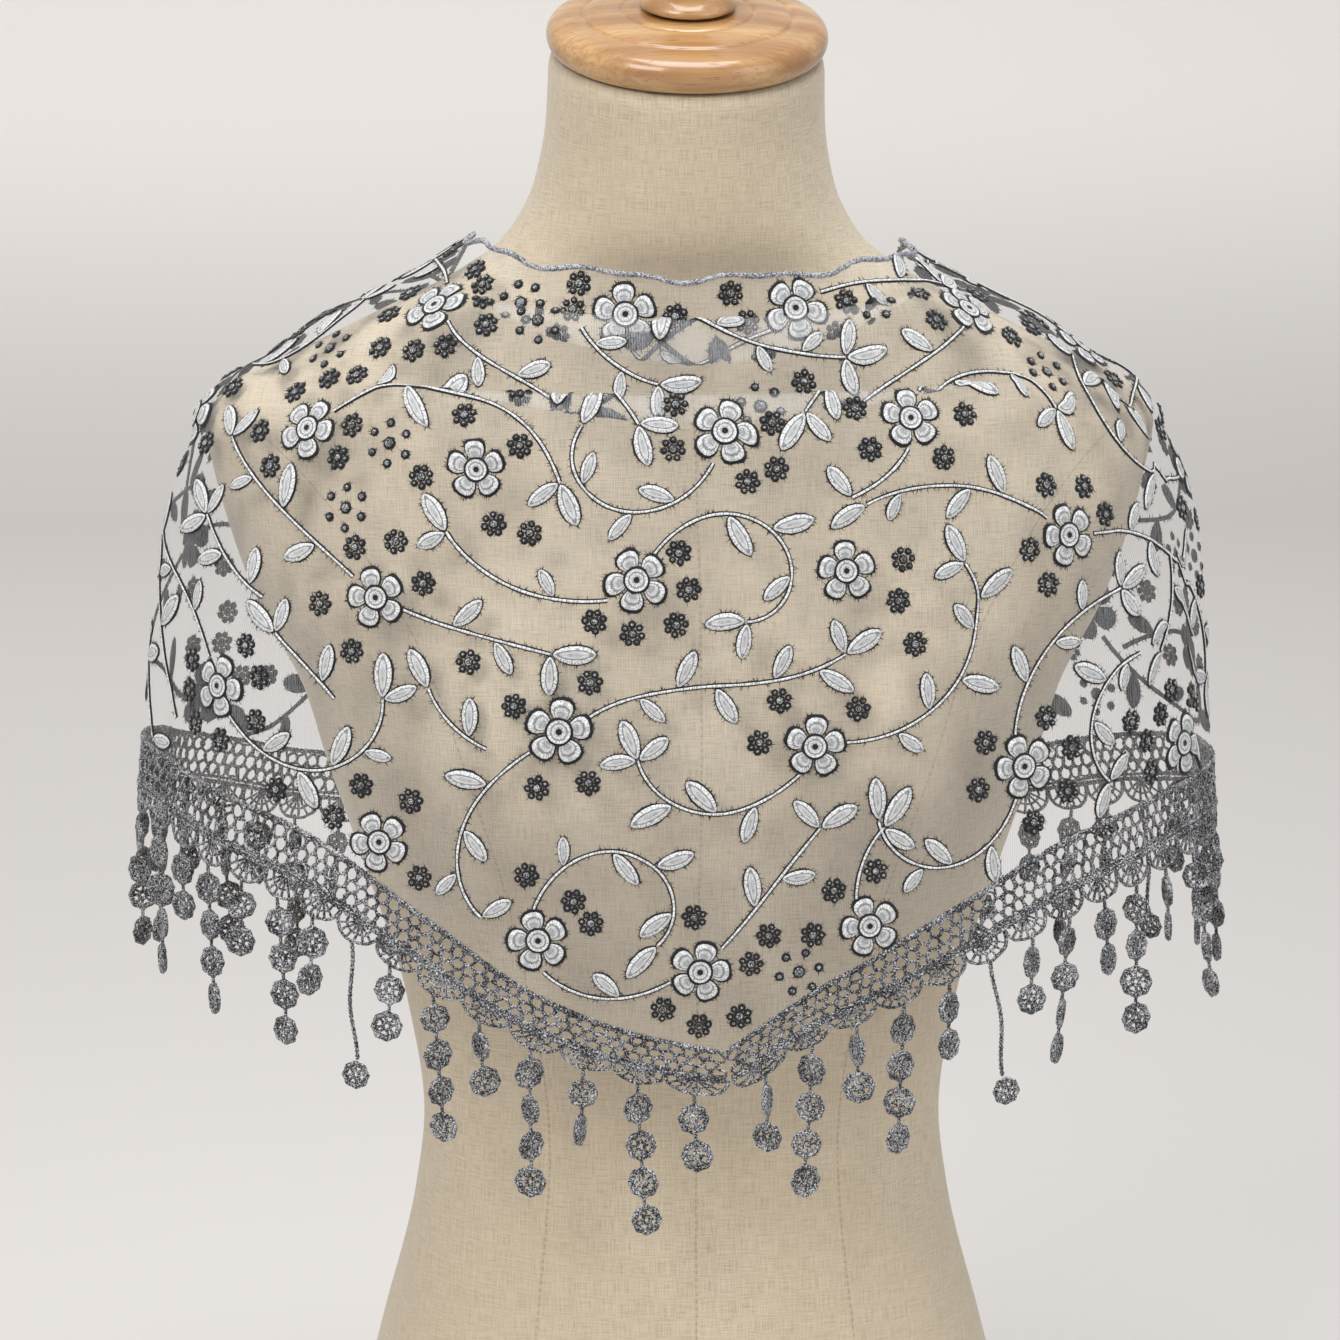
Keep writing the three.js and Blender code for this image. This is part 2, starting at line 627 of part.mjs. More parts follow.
const front = frontPoints();
const backLeft = backPoints(-1);
const backRight = backPoints(1);
add('shawl_front', wall(front, CLOTH_WALL), FINISH.tulle);
add('shawl_back_left', wall(backLeft, CLOTH_WALL), FINISH.tulle);
add('shawl_back_right', wall(backRight, CLOTH_WALL), FINISH.tulle);
add('shawl_knot', knot(), FINISH.tulle);

const lowerEdge = (points) => points.map((row) => row.at(-1));
const apexColumn = FRONT_ANGLES.findIndex((angle) => Math.abs(angle - APEX_ANGLE) < 0.01);

// A line pulled in by a distance at both ends
function shortened(edge, distance) {
  const line = lineThrough(edge);
  return [line.at(distance), ...edge.slice(1, -1), line.at(line.total - distance)];
}

const STRETCHES = {
  front_left: shortened(lowerEdge(front).slice(0, apexColumn + 1), SEAM_GAP),
  front_right: shortened(lowerEdge(front).slice(apexColumn), SEAM_GAP),
  back_left: shortened(lowerEdge(backLeft), SEAM_GAP).slice(1),
  back_right: shortened(lowerEdge(backRight), SEAM_GAP).slice(0, -1),
};
for (const [name, edge] of Object.entries(STRETCHES)) {
  const rows = borderRows(edge);
  add(`border_${name}`, wall(rows, LACE_WALL, isGap), FINISH.lace);
  add(`fringe_${name}`, hemFringe(rows), FINISH.lace);
}
for (const [name, rows] of Object.entries(TAILS)) {
  add(`shawl_tail_${name}`, wall(tailCloth(rows), CLOTH_WALL), FINISH.tulle);
  add(`border_tail_${name}`, tailBorder(rows), FINISH.lace);
  add(`fringe_tail_${name}`, tailFringe(rows), FINISH.lace);
}

export default shawl;
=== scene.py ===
# %% [markdown]
# # A lace shawl on a linen dress form
#
# The real thing is a triangle of fine tulle with raised embroidery, edged with crochet lace and a fringe
# of small crocheted discs. It is worn with its point in front over a linen form with a turned wooden cap.
# The solid parts come from the frame as they are packed; every piece below is built round them, in
# metres, in the same place.

# %% Load the frame
import json
import math

import bpy
import numpy as np
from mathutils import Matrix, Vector

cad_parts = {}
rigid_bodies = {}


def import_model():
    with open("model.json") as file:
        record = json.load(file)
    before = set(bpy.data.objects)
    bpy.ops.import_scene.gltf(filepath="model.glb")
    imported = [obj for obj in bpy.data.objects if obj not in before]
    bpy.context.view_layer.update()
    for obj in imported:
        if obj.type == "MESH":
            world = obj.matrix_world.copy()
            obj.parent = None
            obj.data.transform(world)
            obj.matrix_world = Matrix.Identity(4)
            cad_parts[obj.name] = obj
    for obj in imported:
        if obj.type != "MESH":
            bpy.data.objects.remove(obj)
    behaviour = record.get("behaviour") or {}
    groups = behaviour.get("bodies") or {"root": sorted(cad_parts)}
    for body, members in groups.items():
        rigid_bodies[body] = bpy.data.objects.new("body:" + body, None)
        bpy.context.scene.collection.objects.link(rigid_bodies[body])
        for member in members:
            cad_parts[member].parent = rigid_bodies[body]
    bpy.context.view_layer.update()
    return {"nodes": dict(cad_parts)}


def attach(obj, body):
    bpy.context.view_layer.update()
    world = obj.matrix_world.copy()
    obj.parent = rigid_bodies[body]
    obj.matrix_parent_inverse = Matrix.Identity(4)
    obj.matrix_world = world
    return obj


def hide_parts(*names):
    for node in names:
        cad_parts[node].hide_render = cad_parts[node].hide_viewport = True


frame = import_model()
MM = 0.001
rng = np.random.default_rng(7)


def in_scene(name, data):
    thing = bpy.data.objects.new(name, data)
    bpy.context.scene.collection.objects.link(thing)
    return thing


print("frame nodes:", len(frame["nodes"]))

# %% [markdown]
# ## The camera
#
# The photograph was taken from a little above the chest, slightly from the left. A long lens from 1.8 m
# keeps the shoulders and the neck in proportion. The camera comes first, so that every later look at the
# scene has its view.

# %% Set the camera
PHOTO_WIDTH_M = 0.570
CAMERA_DISTANCE = 1.8
CAMERA_TURN = math.radians(-4)
CAMERA_RISE = math.radians(9)
SENSOR_MM = 36
LOOK_AT = Vector((-0.005, 0.0, 0.430))

back = Vector((
    math.sin(CAMERA_TURN) * math.cos(CAMERA_RISE),
    -math.cos(CAMERA_TURN) * math.cos(CAMERA_RISE),
    math.sin(CAMERA_RISE),
))
camera_data = bpy.data.cameras.new("camera")
camera = in_scene("camera", camera_data)
camera_data.sensor_width = SENSOR_MM
camera_data.lens = SENSOR_MM * CAMERA_DISTANCE / PHOTO_WIDTH_M
camera.location = LOOK_AT + back * CAMERA_DISTANCE
camera.rotation_mode = "QUATERNION"
camera.rotation_quaternion = (-back).to_track_quat("-Z", "Y")
camera_data.clip_end = 30
bpy.context.scene.camera = camera
print("lens:", round(camera_data.lens, 1), "mm")

# %% [markdown]
# ## The form's own sizes
#
# A dress form is a stack of rounded sections. Each row below gives a height and the section there: half
# its width, its reach to the front and to the back, how square it is, and how far its middle lies back. A
# smooth curve through the rows gives every height between them. The shawl has a table of its own, for how
# it hangs round the form.

# %% Tables of the form and the drape, in millimetres
FORM_ROWS = """
z  halfWidth front back power middle
0   156  98   110  2.3 0
60  151  96   109  2.3 0
145 130  89   96   2.3 0
205 115  83   83   2.2 0
240 111  82   80   2.2 0
290 118  86   83   2.2 0
350 136  98   90   2.2 0
395 151  108  96   2.2 0
425 160  109  99   2.2 0
465 180  103  101  2.3 0
500 192  90   100  2.3 0
520 197  80   97   2.3 0
537 200  71   92   2.3 0
553 189  64   87   2.2 0
568 158  60   83   2.1 0
582 130  58   79   2.0 0
598 97   57   72   2.0 -2
615 74   57   62   2.0 -8
638 62   56   56   2.0 -14
664 57.5 54.5 54.5 2.0 -20
690 56.5 53.7 53.7 2.0 -27
"""
DRAPE_ROWS = """
z  halfWidth front back
270 231 121 131
340 228 123 128
390 225 122 123
430 221 120 119
470 217 115 117
500 213 109 115
530 203 102 111
546 193 97  107
560 178 92  102
580 152 87  96
590 131 84  92
603 106 80  86
616 86  75  78
"""
LEFT_EDGE_ROWS = """
angle neck hem border
0   602 294 16
19  603 304 18
34  605 319 22
49  608 348 28
64  611 380 30
79  614 398 29
94  615 408 28
109 611 397 29
124 598 382 29
144 560 372 28
164 495 381 26
176 446 399 22
"""
RIGHT_EDGE_ROWS = """
angle neck hem border
0   602 294 16
16  603 318 20
26  604 331 24
41  606 354 29
56  608 377 30
71  610 390 29
86  611 398 28
101 608 392 29
116 596 380 29
136 558 370 28
156 495 380 26
168 446 399 22
"""


def table(text):
    """Named columns of numbers from a short table."""
    lines = [line.split() for line in text.strip().splitlines()]
    values = np.array(lines[1:], float)
    return {name: values[:, i] for i, name in enumerate(lines[0])}


FORM = table(FORM_ROWS)
DRAPE = table(DRAPE_ROWS)
LEFT_EDGE = table(LEFT_EDGE_ROWS)
RIGHT_EDGE = table(RIGHT_EDGE_ROWS)


def smooth_through(x, y, at):
    """A smooth curve through points, level where the points turn back."""
    at = np.asarray(at, float)
    step = np.diff(x)
    slope = np.diff(y) / step
    shared = np.concatenate([slope[:1], np.zeros(len(x) - 2), slope[-1:]])
    before, after = slope[:-1], slope[1:]
    same_way = before * after > 0
    shared[1:-1][same_way] = (2 * before * after)[same_way] / (before + after)[same_way]
    i = np.clip(np.searchsorted(x, at) - 1, 0, len(x) - 2)
    t = np.clip((at - x[i]) / step[i], 0, 1)
    return (
        y[i] * (1 + 2 * t) * (1 - t) ** 2
        + y[i + 1] * t * t * (3 - 2 * t)
        + shared[i] * step[i] * t * (1 - t) ** 2
        - shared[i + 1] * step[i] * t * t * (1 - t)
    )


def read(columns, key, at, name):
    return smooth_through(columns[key], columns[name], at)


def unit(vectors):
    """The same directions at length one."""
    return vectors / np.maximum(np.linalg.norm(vectors, axis=-1, keepdims=True), 1e-9)


def walked_along(line):
    """The distance walked at each point of a line."""
    return np.concatenate([[0], np.cumsum(np.linalg.norm(np.diff(line, axis=0), axis=1))])


def alike(*values):
    """Numbers and arrays as arrays of one shape."""
    return np.broadcast_arrays(*(np.asarray(value, float) for value in values))


def full_turn(count):
    """Angles of even steps round a circle."""
    return 2 * np.pi * np.arange(count) / count


# %% [markdown]
# ## How the cloth hangs
#
# The shawl is one piece of cloth, so one rule gives its place at every angle round the form and every
# height. It hangs free by its own table, and where that would pass through the form it lies on the linen
# instead. Two soft laps cross the front below the neck, which a triangle makes when its long edge sags.

# %% The rule for a point of the hanging cloth
CLOTH_CLEARANCE = 1.9
APEX_ANGLE = 4
SIDE_SPLIT = 78
BACK_END = 171
FOLD_LAYER = 2.6
DRAPE_POWER = 2.1
BUST = {"x": 82, "z": 413, "reach": 15, "spread_x": 44, "spread_z": 52}
COWL_FOLDS = [
    {"ridge": 586, "lap": 19, "reach": 74, "rise": 13},
    {"ridge": 557, "lap": 12, "reach": 78, "rise": 3},
]
FLUTES = [
    {"angle": -104, "spread": 32, "depth": 6, "wave": 17},
    {"angle": 100, "spread": 30, "depth": 5, "wave": 19},
    {"angle": -158, "spread": 22, "depth": 5, "wave": 11},
    {"angle": 160, "spread": 22, "depth": 5, "wave": 12},
]

CREASE_ROWS = """
from_angle from_z to_angle to_z width depth
-66  562 -18  521 7 2.4
61   557 22   507 8 2.2
-57  531 -31  468 6 1.8
64   522 38   452 7 2.0
-84  541 -80  431 9 3.4
86   546 84   424 8 3.2
-70  503 -63  412 6 2.4
73   482 66   408 7 2.6
8    474 2    381 9 1.8
-15  422 -8   343 6 1.4
21   404 12   329 7 1.6
-120 558 -111 428 9 3.2
124  556 118  426 8 2.8
-140 522 -150 418 8 2.4
142  527 151  424 9 2.6
"""
CREASES = table(CREASE_ROWS)
MM_PER_DEGREE = 2.6
FLUTE_DEPTH_Z = 160
FOLD_BEND = 1.4


def section_radius(turn, half_width, front, back_reach, power):
    reach = np.where(np.cos(turn) >= 0, front, back_reach)
    across = np.abs(np.sin(turn) / half_width) ** power
    along = np.abs(np.cos(turn) / reach) ** power
    return (across + along) ** (-1 / power)


def form_radius(turn, z):
    """Distance of the form's surface from its middle, at a turn from the front and a height."""
    names = ("halfWidth", "front", "back", "power")
    width, front, rear, power = (read(FORM, "z", z, name) for name in names)
    plain = section_radius(turn, width, front, rear, power)
    off_x = (np.abs(plain * np.sin(turn)) - BUST["x"]) / BUST["spread_x"]
    off_z = (z - BUST["z"]) / BUST["spread_z"]
    in_front = np.maximum(np.cos(turn), 0)
    return plain + BUST["reach"] * in_front * np.exp(-off_x**2 - off_z**2)


def edge_value(angle, name):
    away = np.asarray(angle, float) - APEX_ANGLE
    left = read(LEFT_EDGE, "angle", np.maximum(-away, 0), name)
    right = read(RIGHT_EDGE, "angle", np.maximum(away, 0), name)
    wave = 1.3 * np.sin(away * 0.16) + 0.8 * np.sin(away * 0.31 + 0.7) if name == "neck" else 0.0
    return np.where(away < 0, left, right) + wave


def crease_lift(angle, z):
    """Height of the soft creases, each along its own line from one spot of the cloth to another."""
    total = np.zeros_like(z)
    for angle_a, z_a, angle_b, z_b, width, depth in zip(*CREASES.values()):
        run = (angle_b - angle_a) * MM_PER_DEGREE
        drop = z_b - z_a
        length = math.hypot(run, drop)
        across = (angle - angle_a) * MM_PER_DEGREE
        up = z - z_a
        part = np.clip((across * run + up * drop) / length**2, 0, 1)
        off = (across * drop - up * run) / length
        total = total + depth * np.exp(-((off / width) ** 2)) * np.sin(np.pi * part) ** 0.8
    return total


def drape_point(angle, z, lift=0.0):
    """Points of the hanging cloth in millimetres, at angles in degrees and heights, moved out by lift."""
    angle, z, lift = alike(angle, z, lift)
    turn = np.radians(angle)
    width, front, rear = (read(DRAPE, "z", z, name) for name in ("halfWidth", "front", "back"))
    free = section_radius(turn, width, front, rear, DRAPE_POWER)
    touching = form_radius(turn, z - CLOTH_CLEARANCE) + CLOTH_CLEARANCE
    gap = free - touching
    radius = (free + touching + np.sqrt(gap * gap + 1)) / 2
    depth = np.clip((edge_value(angle, "neck") - z) / FLUTE_DEPTH_Z, 0, 1)
    flute = np.zeros_like(radius)
    for wave in FLUTES:
        away = (angle - wave["angle"]) / wave["spread"]
        swing = (1 + np.cos(2 * np.pi * (angle - wave["angle"]) / wave["wave"])) / 2
        flute = flute + wave["depth"] * depth * np.exp(-away * away) * swing
    reach = radius + lift + flute + crease_lift(angle, z)
    middle = read(FORM, "z", z, "middle")
    return np.stack([reach * np.sin(turn), middle - reach * np.cos(turn), z], axis=-1)


# %% [markdown]
# A column of cloth runs from the neck edge to the lower edge. In front it goes down behind each lap, back
# up to the ridge and down again, so it is a path of heights and lifts rather than a plain drop. The path
# gets a smooth curve, and the steps are finest where the cloth turns over.

# %% Columns of cloth from neck edge to lower edge
FOLD_STEPS = [2, 4] + [3, 3, 3, 6, 3, 3, 3] + [4] + [3, 3, 3, 5, 3, 3, 3] + [5] * 9


def front_path(angle):
    """Heights and lifts down a front column, one row for each control point."""
    neck = float(edge_value(angle, "neck"))
    hem = float(edge_value(angle, "hem"))
    rows = [(neck, 0.0), (neck - 5, 0.0)]
    layer = 0.0
    for fold in COWL_FOLDS:
        away = min(abs(angle) / fold["reach"], 1.0)
        strength = (1 - away * away) ** 1.5
        ridge = fold["ridge"] + fold["rise"] * (1 - math.cos(math.radians(90 * away)))
        lap = fold["lap"] * strength - 6 * (1 - strength)
        low = ridge - lap
        turn = max(-FOLD_BEND, min(FOLD_BEND, lap / 3))
        part = min(max(strength / 0.35, 0.0), 1.0)
        lift = FOLD_LAYER * part * part * (3 - 2 * part)
        rows += [
            (max(low, ridge) + 2.5, layer * 0.9),
            (low + FOLD_BEND, layer),
            (low, layer + lift / 2),
            (low + turn, layer + lift),
            (ridge - turn, layer + lift),
            (ridge, layer + lift * 1.5),
            (ridge - FOLD_BEND, layer + lift * 2),
        ]
        layer += lift * 2
        rows.append((ridge - max(lap, 0) - 5, layer))
    start = rows[-1][0]
    for i in range(1, 10):
        part = i / 9
        rows.append((start + (hem - start) * part, layer * max(0.0, 1 - part * 2.2)))
    return np.array(rows)


def smooth_path(rows, steps):
    """The path as a smooth curve, with the given number of steps between its rows."""
    walked = np.concatenate([[0], np.cumsum(np.linalg.norm(np.diff(rows, axis=0), axis=1) + 1e-4)])
    between = [walked[i] + (walked[i + 1] - walked[i]) * np.arange(n) / n for i, n in enumerate(steps)]
    spots = np.concatenate(between + [walked[-1:]])
    return np.stack([smooth_through(walked, rows[:, k], spots) for k in range(2)], axis=-1)


BACK_ROWS = 64


def cloth_column(angle):
    if abs(angle) <= SIDE_SPLIT:
        path = smooth_path(front_path(angle), FOLD_STEPS)
        return drape_point(angle, path[:, 0], path[:, 1])
    neck = float(edge_value(angle, "neck"))
    hem = float(edge_value(angle, "hem"))
    return drape_point(angle, neck + (hem - neck) * np.linspace(0, 1, BACK_ROWS) ** 1.2)


# %% [markdown]
# ## A surface that other pieces lie on
#
# Embroidery, lace and hems all follow the cloth. A grid of the cloth's points, even in length down each
# column, lets any point be given as a column, a distance down it and a height above it. Motifs are laid
# out flat in millimetres and carried over with the local directions, so they keep their shape where the
# cloth curves.

# %% Surfaces made of columns
ROW_STEP = 1.0


class Surface:
    """Columns of points, read by column, distance down in millimetres and height above the cloth."""

    def __init__(self, columns):
        steps = [np.linalg.norm(np.diff(column, axis=0), axis=1) for column in columns]
        self.lengths = np.array([step.sum() for step in steps])
        rows = int(self.lengths.max() / ROW_STEP) + 2
        grid = np.zeros((len(columns), rows, 3))
        for i, column in enumerate(columns):
            walked = walked_along(column)
            down = np.arange(rows) * ROW_STEP
            inside = np.minimum(down, walked[-1])
            for k in range(3):
                grid[i, :, k] = np.interp(inside, walked, column[:, k])
            grid[i] += np.maximum(down - walked[-1], 0)[:, None] * unit(column[-1] - column[-3])
        self.grid = grid
        self.along = np.gradient(grid, axis=0)
        self.down = np.gradient(grid, axis=1) / ROW_STEP
        self.normal = unit(np.cross(self.down, self.along))
        step = np.linalg.norm(np.diff(grid, axis=0), axis=2)
        self.across = np.concatenate([np.zeros((1, rows)), np.cumsum(step, axis=0)])

    def sample(self, field, column, distance):
        i = np.clip(np.asarray(column, float), 0, self.grid.shape[0] - 1.001)
        j = np.clip(np.asarray(distance, float) / ROW_STEP, 0, self.grid.shape[1] - 1.001)
        i0, j0 = i.astype(int), j.astype(int)
        a, b = (i - i0), (j - j0)
        if field.ndim == 3:
            a, b = a[..., None], b[..., None]
        top = field[i0, j0] * (1 - a) + field[i0 + 1, j0] * a
        low = field[i0, j0 + 1] * (1 - a) + field[i0 + 1, j0 + 1] * a
        return top * (1 - b) + low * b

    def point(self, column, distance, height=0.0):
        foot = self.sample(self.grid, column, distance)
        return foot + self.sample(self.normal, column, distance) * np.asarray(height, float)[..., None]

    def carry(self, column, distance, turn, flat, height):
        """Flat millimetre offsets round an anchor, turned by an angle and laid on the surface."""
        c, s = math.cos(turn), math.sin(turn)
        x = flat[:, 0] * c - flat[:, 1] * s
        y = flat[:, 0] * s + flat[:, 1] * c
        columns, distances = self.moved(column, distance, x, y)
        return self.point(columns, distances, height)

    def moved(self, column, distance, x, y):
        """The column and distance reached by going x along the rows and y up, in millimetres."""
        along = self.sample(self.along, column, distance)
        down = unit(self.sample(self.down, column, distance))
        slant = np.sum(along * down, axis=-1)
        straight = np.sqrt(np.maximum(np.sum(along * along, axis=-1) - slant * slant, 1e-6))
        return column + x / straight, distance - y - x * slant / straight


cloth_angles = np.arange(-BACK_END, BACK_END + 1, 1.0)
worn = Surface([cloth_column(angle) for angle in cloth_angles])


def column_at(angle):
    return angle + BACK_END


worn.across = worn.across - worn.across[int(column_at(APEX_ANGLE))]
print("cloth down the middle:", round(worn.lengths[int(column_at(APEX_ANGLE))]), "mm")

# %% [markdown]
# ## Meshes from arrays
#
# Every piece here is an array of points in millimetres and a list of faces. One helper turns them into an
# object in metres, with its own UV map in metres, and gives it to the frame: it rides on the only body
# and stands for the solids that it dresses.

# %% Helpers that make pieces
def plain_mesh(name, points, faces, materials=(), uv=None, finish=None):
    """A smooth mesh from points and UV in millimetres; finish numbers the material of each face."""
    mesh = bpy.data.meshes.new(name)
    mesh.from_pydata((np.asarray(points, float) * MM).tolist(), [], faces)
    if uv is not None:
        corners = np.empty(len(mesh.loops), np.int32)
        mesh.loops.foreach_get("vertex_index", corners)
        layer = mesh.uv_layers.new(name="surface")
        layer.data.foreach_set("uv", (np.asarray(uv, float)[corners] * MM).astype(np.float32).ravel())
    for material in materials:
        mesh.materials.append(material)
    if finish is not None:
        mesh.polygons.foreach_set("material_index", np.asarray(finish, np.int32))
    mesh.polygons.foreach_set("use_smooth", np.full(len(mesh.polygons), True))
    mesh.update()
    return mesh


def finish_piece(piece, replaces=()):
    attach(piece, "root")
    if replaces:
        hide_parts(*replaces)
    return piece


def add_piece(name, points, faces, materials, uv=None, replaces=()):
    return finish_piece(in_scene(name, plain_mesh(name, points, faces, materials, uv)), replaces)


def grid_faces(rows, columns, closed=False, looped=False, flipped=False):
    """Quads of a grid of points stored row after row; closed joins its side edges, looped its ends."""
    down, across = rows - (not looped), columns - (not closed)
    i, j = np.meshgrid(np.arange(down), np.arange(across), indexing="ij")
    below, right = (i + 1) % rows * columns, (j + 1) % columns
    corners = [i * columns + j, i * columns + right, below + right, below + j]
    if flipped:
        corners = corners[:1] + corners[:0:-1]
    return np.stack(corners, axis=-1).reshape(-1, 4).tolist()


def close_ends(faces, rows, sides):
    """Fans that close a tube of rings, whose low and top middle points follow the rings."""
    low, top, last = rows * sides, rows * sides + 1, (rows - 1) * sides
    for j in range(sides):
        after = (j + 1) % sides
        faces += [[low, after, j], [top, last + j, last + after]]


def triangles(piece):
    return sum(len(polygon.vertices) - 2 for polygon in piece.data.polygons)


# %% [markdown]
# ## Finishes that several materials share
#
# Threads, slubs and flecks show on the linen, and mottled yarn in the lace, the hems and the embroidery.
# Each effect is a node group, so a material places it and gives its own scale. The groups put out
# colours, masks and heights only, and the shader itself stays in each material.

# %% Node helpers
def new_group(name, inputs, outputs):
    tree = bpy.data.node_groups.new(name, "ShaderNodeTree")
    for label, kind, value in inputs:
        socket = tree.interface.new_socket(label, in_out="INPUT", socket_type=kind)
        if value is not None:
            socket.default_value = value
    for label, kind in outputs:
        tree.interface.new_socket(label, in_out="OUTPUT", socket_type=kind)
    return tree, tree.nodes.new("NodeGroupInput"), tree.nodes.new("NodeGroupOutput")


def math_node(tree, operation, *values, clamp=False):
    node = tree.nodes.new("ShaderNodeMath")
    node.operation = operation
    node.use_clamp = clamp
    for socket, value in zip(node.inputs, values):
        set_or_link(tree, socket, value)
    return node.outputs[0]


def set_or_link(tree, socket, value):
    if isinstance(value, bpy.types.NodeSocket):
        tree.links.new(value, socket)
    else:
        socket.default_value = value


def fill_inputs(tree, node, values):
    """Set or link inputs by name, with _ for a space."""
    for label, value in values.items():
        set_or_link(tree, node.inputs[label.replace("_", " ")], value)
    return node


def add_node(tree, kind, **values):
    return fill_inputs(tree, tree.nodes.new(kind), values)


def times(tree, first, second, clamp=False):
    return math_node(tree, "MULTIPLY", first, second, clamp=clamp)


def scaled(tree, value, factor, plus):
    return math_node(tree, "MULTIPLY_ADD", value, factor, plus)


def noise(tree, where, scale, detail=2.0, rough=0.5, stretch=None):
    if stretch is not None:
        where = add_node(tree, "ShaderNodeMapping", Vector=where, Scale=stretch).outputs[0]
    node = add_node(tree, "ShaderNodeTexNoise", Vector=where, Scale=scale, Detail=detail, Roughness=rough)
    return node.outputs["Fac"]


def ramp(tree, value, low, high, to_low=0.0, to_high=1.0):
    node = tree.nodes.new("ShaderNodeMapRange")
    node.interpolation_type = "SMOOTHSTEP"
    limits = {"From_Min": low, "From_Max": high, "To_Min": to_low, "To_Max": to_high}
    return fill_inputs(tree, node, {"Value": value, **limits}).outputs[0]


def blend_colour(tree, share, first, second):
    node = tree.nodes.new("ShaderNodeMix")
    node.data_type = "RGBA"
    return fill_inputs(tree, node, {"Factor": share, "A": first, "B": second}).outputs["Result"]


def colour(red, green, blue):
    """A screen colour of 0 to 255 as the linear values that nodes use."""
    parts = []
    for value in (red, green, blue):
        share = value / 255
        parts.append(share / 12.92 if share <= 0.04045 else ((share + 0.055) / 1.055) ** 2.4)
    return (*parts, 1.0)


def new_material(name, roughness=0.8, specular=0.3, coat=0.0, coat_roughness=0.1, sheen=0.0):
    material = bpy.data.materials.new(name)
    material.use_nodes = True
    tree = material.node_tree
    finish = {
        "Roughness": roughness, "Specular IOR Level": specular, "Coat Weight": coat,
        "Coat Roughness": coat_roughness, "Sheen Weight": sheen,
    }
    return material, tree, fill_inputs(tree, tree.nodes["Principled BSDF"], finish)


def use_group(tree, group, **values):
    node = tree.nodes.new("ShaderNodeGroup")
    node.node_tree = group
    return fill_inputs(tree, node, values)


def bump(tree, shader, height, distance, strength):
    node = add_node(tree, "ShaderNodeBump", Distance=distance, Strength=strength, Height=height)
    tree.links.new(node.outputs[0], shader.inputs["Normal"])


def coordinates(tree, kind):
    node = tree.nodes.new("ShaderNodeTexCoord")
    return node.outputs[kind]


def split(tree, vector):
    node = tree.nodes.new("ShaderNodeSeparateXYZ")
    tree.links.new(vector, node.inputs[0])
    return node.outputs


# %% The weave group: threads both ways, slubs and dark flecks
def halves(tree, first, second):
    return math_node(tree, "ADD", times(tree, first, 0.5), times(tree, second, 0.5))


def make_weave_group():
    tree, given, result = new_group(
        "woven cloth",
        [("Surface", "NodeSocketVector", None), ("Threads per metre", "NodeSocketFloat", 2600.0)],
        [("Threads", "NodeSocketFloat"), ("Slubs", "NodeSocketFloat"), ("Flecks", "NodeSocketFloat")],
    )
    where = given.outputs["Surface"]
    scale = given.outputs["Threads per metre"]
    upright = noise(tree, where, scale, 1.0, 0.5, (1.0, 0.045, 1.0))
    level = noise(tree, where, scale, 1.0, 0.5, (0.045, 1.0, 1.0))
    threads = halves(tree, upright, level)
    long_slubs = noise(tree, where, 900.0, 3.0, 0.6, (1.0, 0.02, 1.0))
    cross_slubs = noise(tree, where, 900.0, 3.0, 0.6, (0.03, 1.0, 1.0))
    slubs = halves(tree, long_slubs, cross_slubs)
    specks = noise(tree, where, 1500.0, 1.0, 0.5, (0.35, 1.0, 1.0))
    flecks = ramp(tree, specks, 0.71, 0.78)
    fill_inputs(tree, result, {"Threads": threads, "Slubs": slubs, "Flecks": flecks})
    return tree


weave_group = make_weave_group()


# %% The mottled yarn group: light and dark fibres twisted together
def make_yarn_group():
    tree, given, result = new_group(
        "mottled yarn",
        [
            ("Where", "NodeSocketVector", None),
            ("Scale", "NodeSocketFloat", 900.0),
            ("Dark", "NodeSocketColor", colour(44, 44, 50)),
            ("Light", "NodeSocketColor", colour(196, 198, 204)),
            ("Share", "NodeSocketFloat", 0.5),
        ],
        [("Colour", "NodeSocketColor"), ("Height", "NodeSocketFloat")],
    )
    where = given.outputs["Where"]
    fine = noise(tree, where, given.outputs["Scale"], 3.0, 0.65)
    wide = noise(tree, where, 140.0, 2.0, 0.5)
    mixed = math_node(tree, "ADD", fine, scaled(tree, wide, 0.22, -0.11))
    level = math_node(tree, "SUBTRACT", mixed, math_node(tree, "SUBTRACT", 0.5, given.outputs["Share"]))
    share = ramp(tree, level, 0.40, 0.61)
    tone = blend_colour(tree, share, given.outputs["Dark"], given.outputs["Light"])
    fill_inputs(tree, result, {"Colour": tone, "Height": fine})
    return tree


yarn_group = make_yarn_group()
print("node groups:", weave_group.name, "and", yarn_group.name)

# %% [markdown]
# ## The linen form
#
# The body is a padded form covered in natural linen, cut in panels that meet at seams down the middle and
# over each breast. The section table gives its shape, so a grid through smooth sections is finer than the
# solid and as true. The weave needs coordinates along the cloth, so the UV map holds the distance round
# each section and the height. Each seam is a shallow groove, read from the distance to its line, which a
# vertex attribute carries.

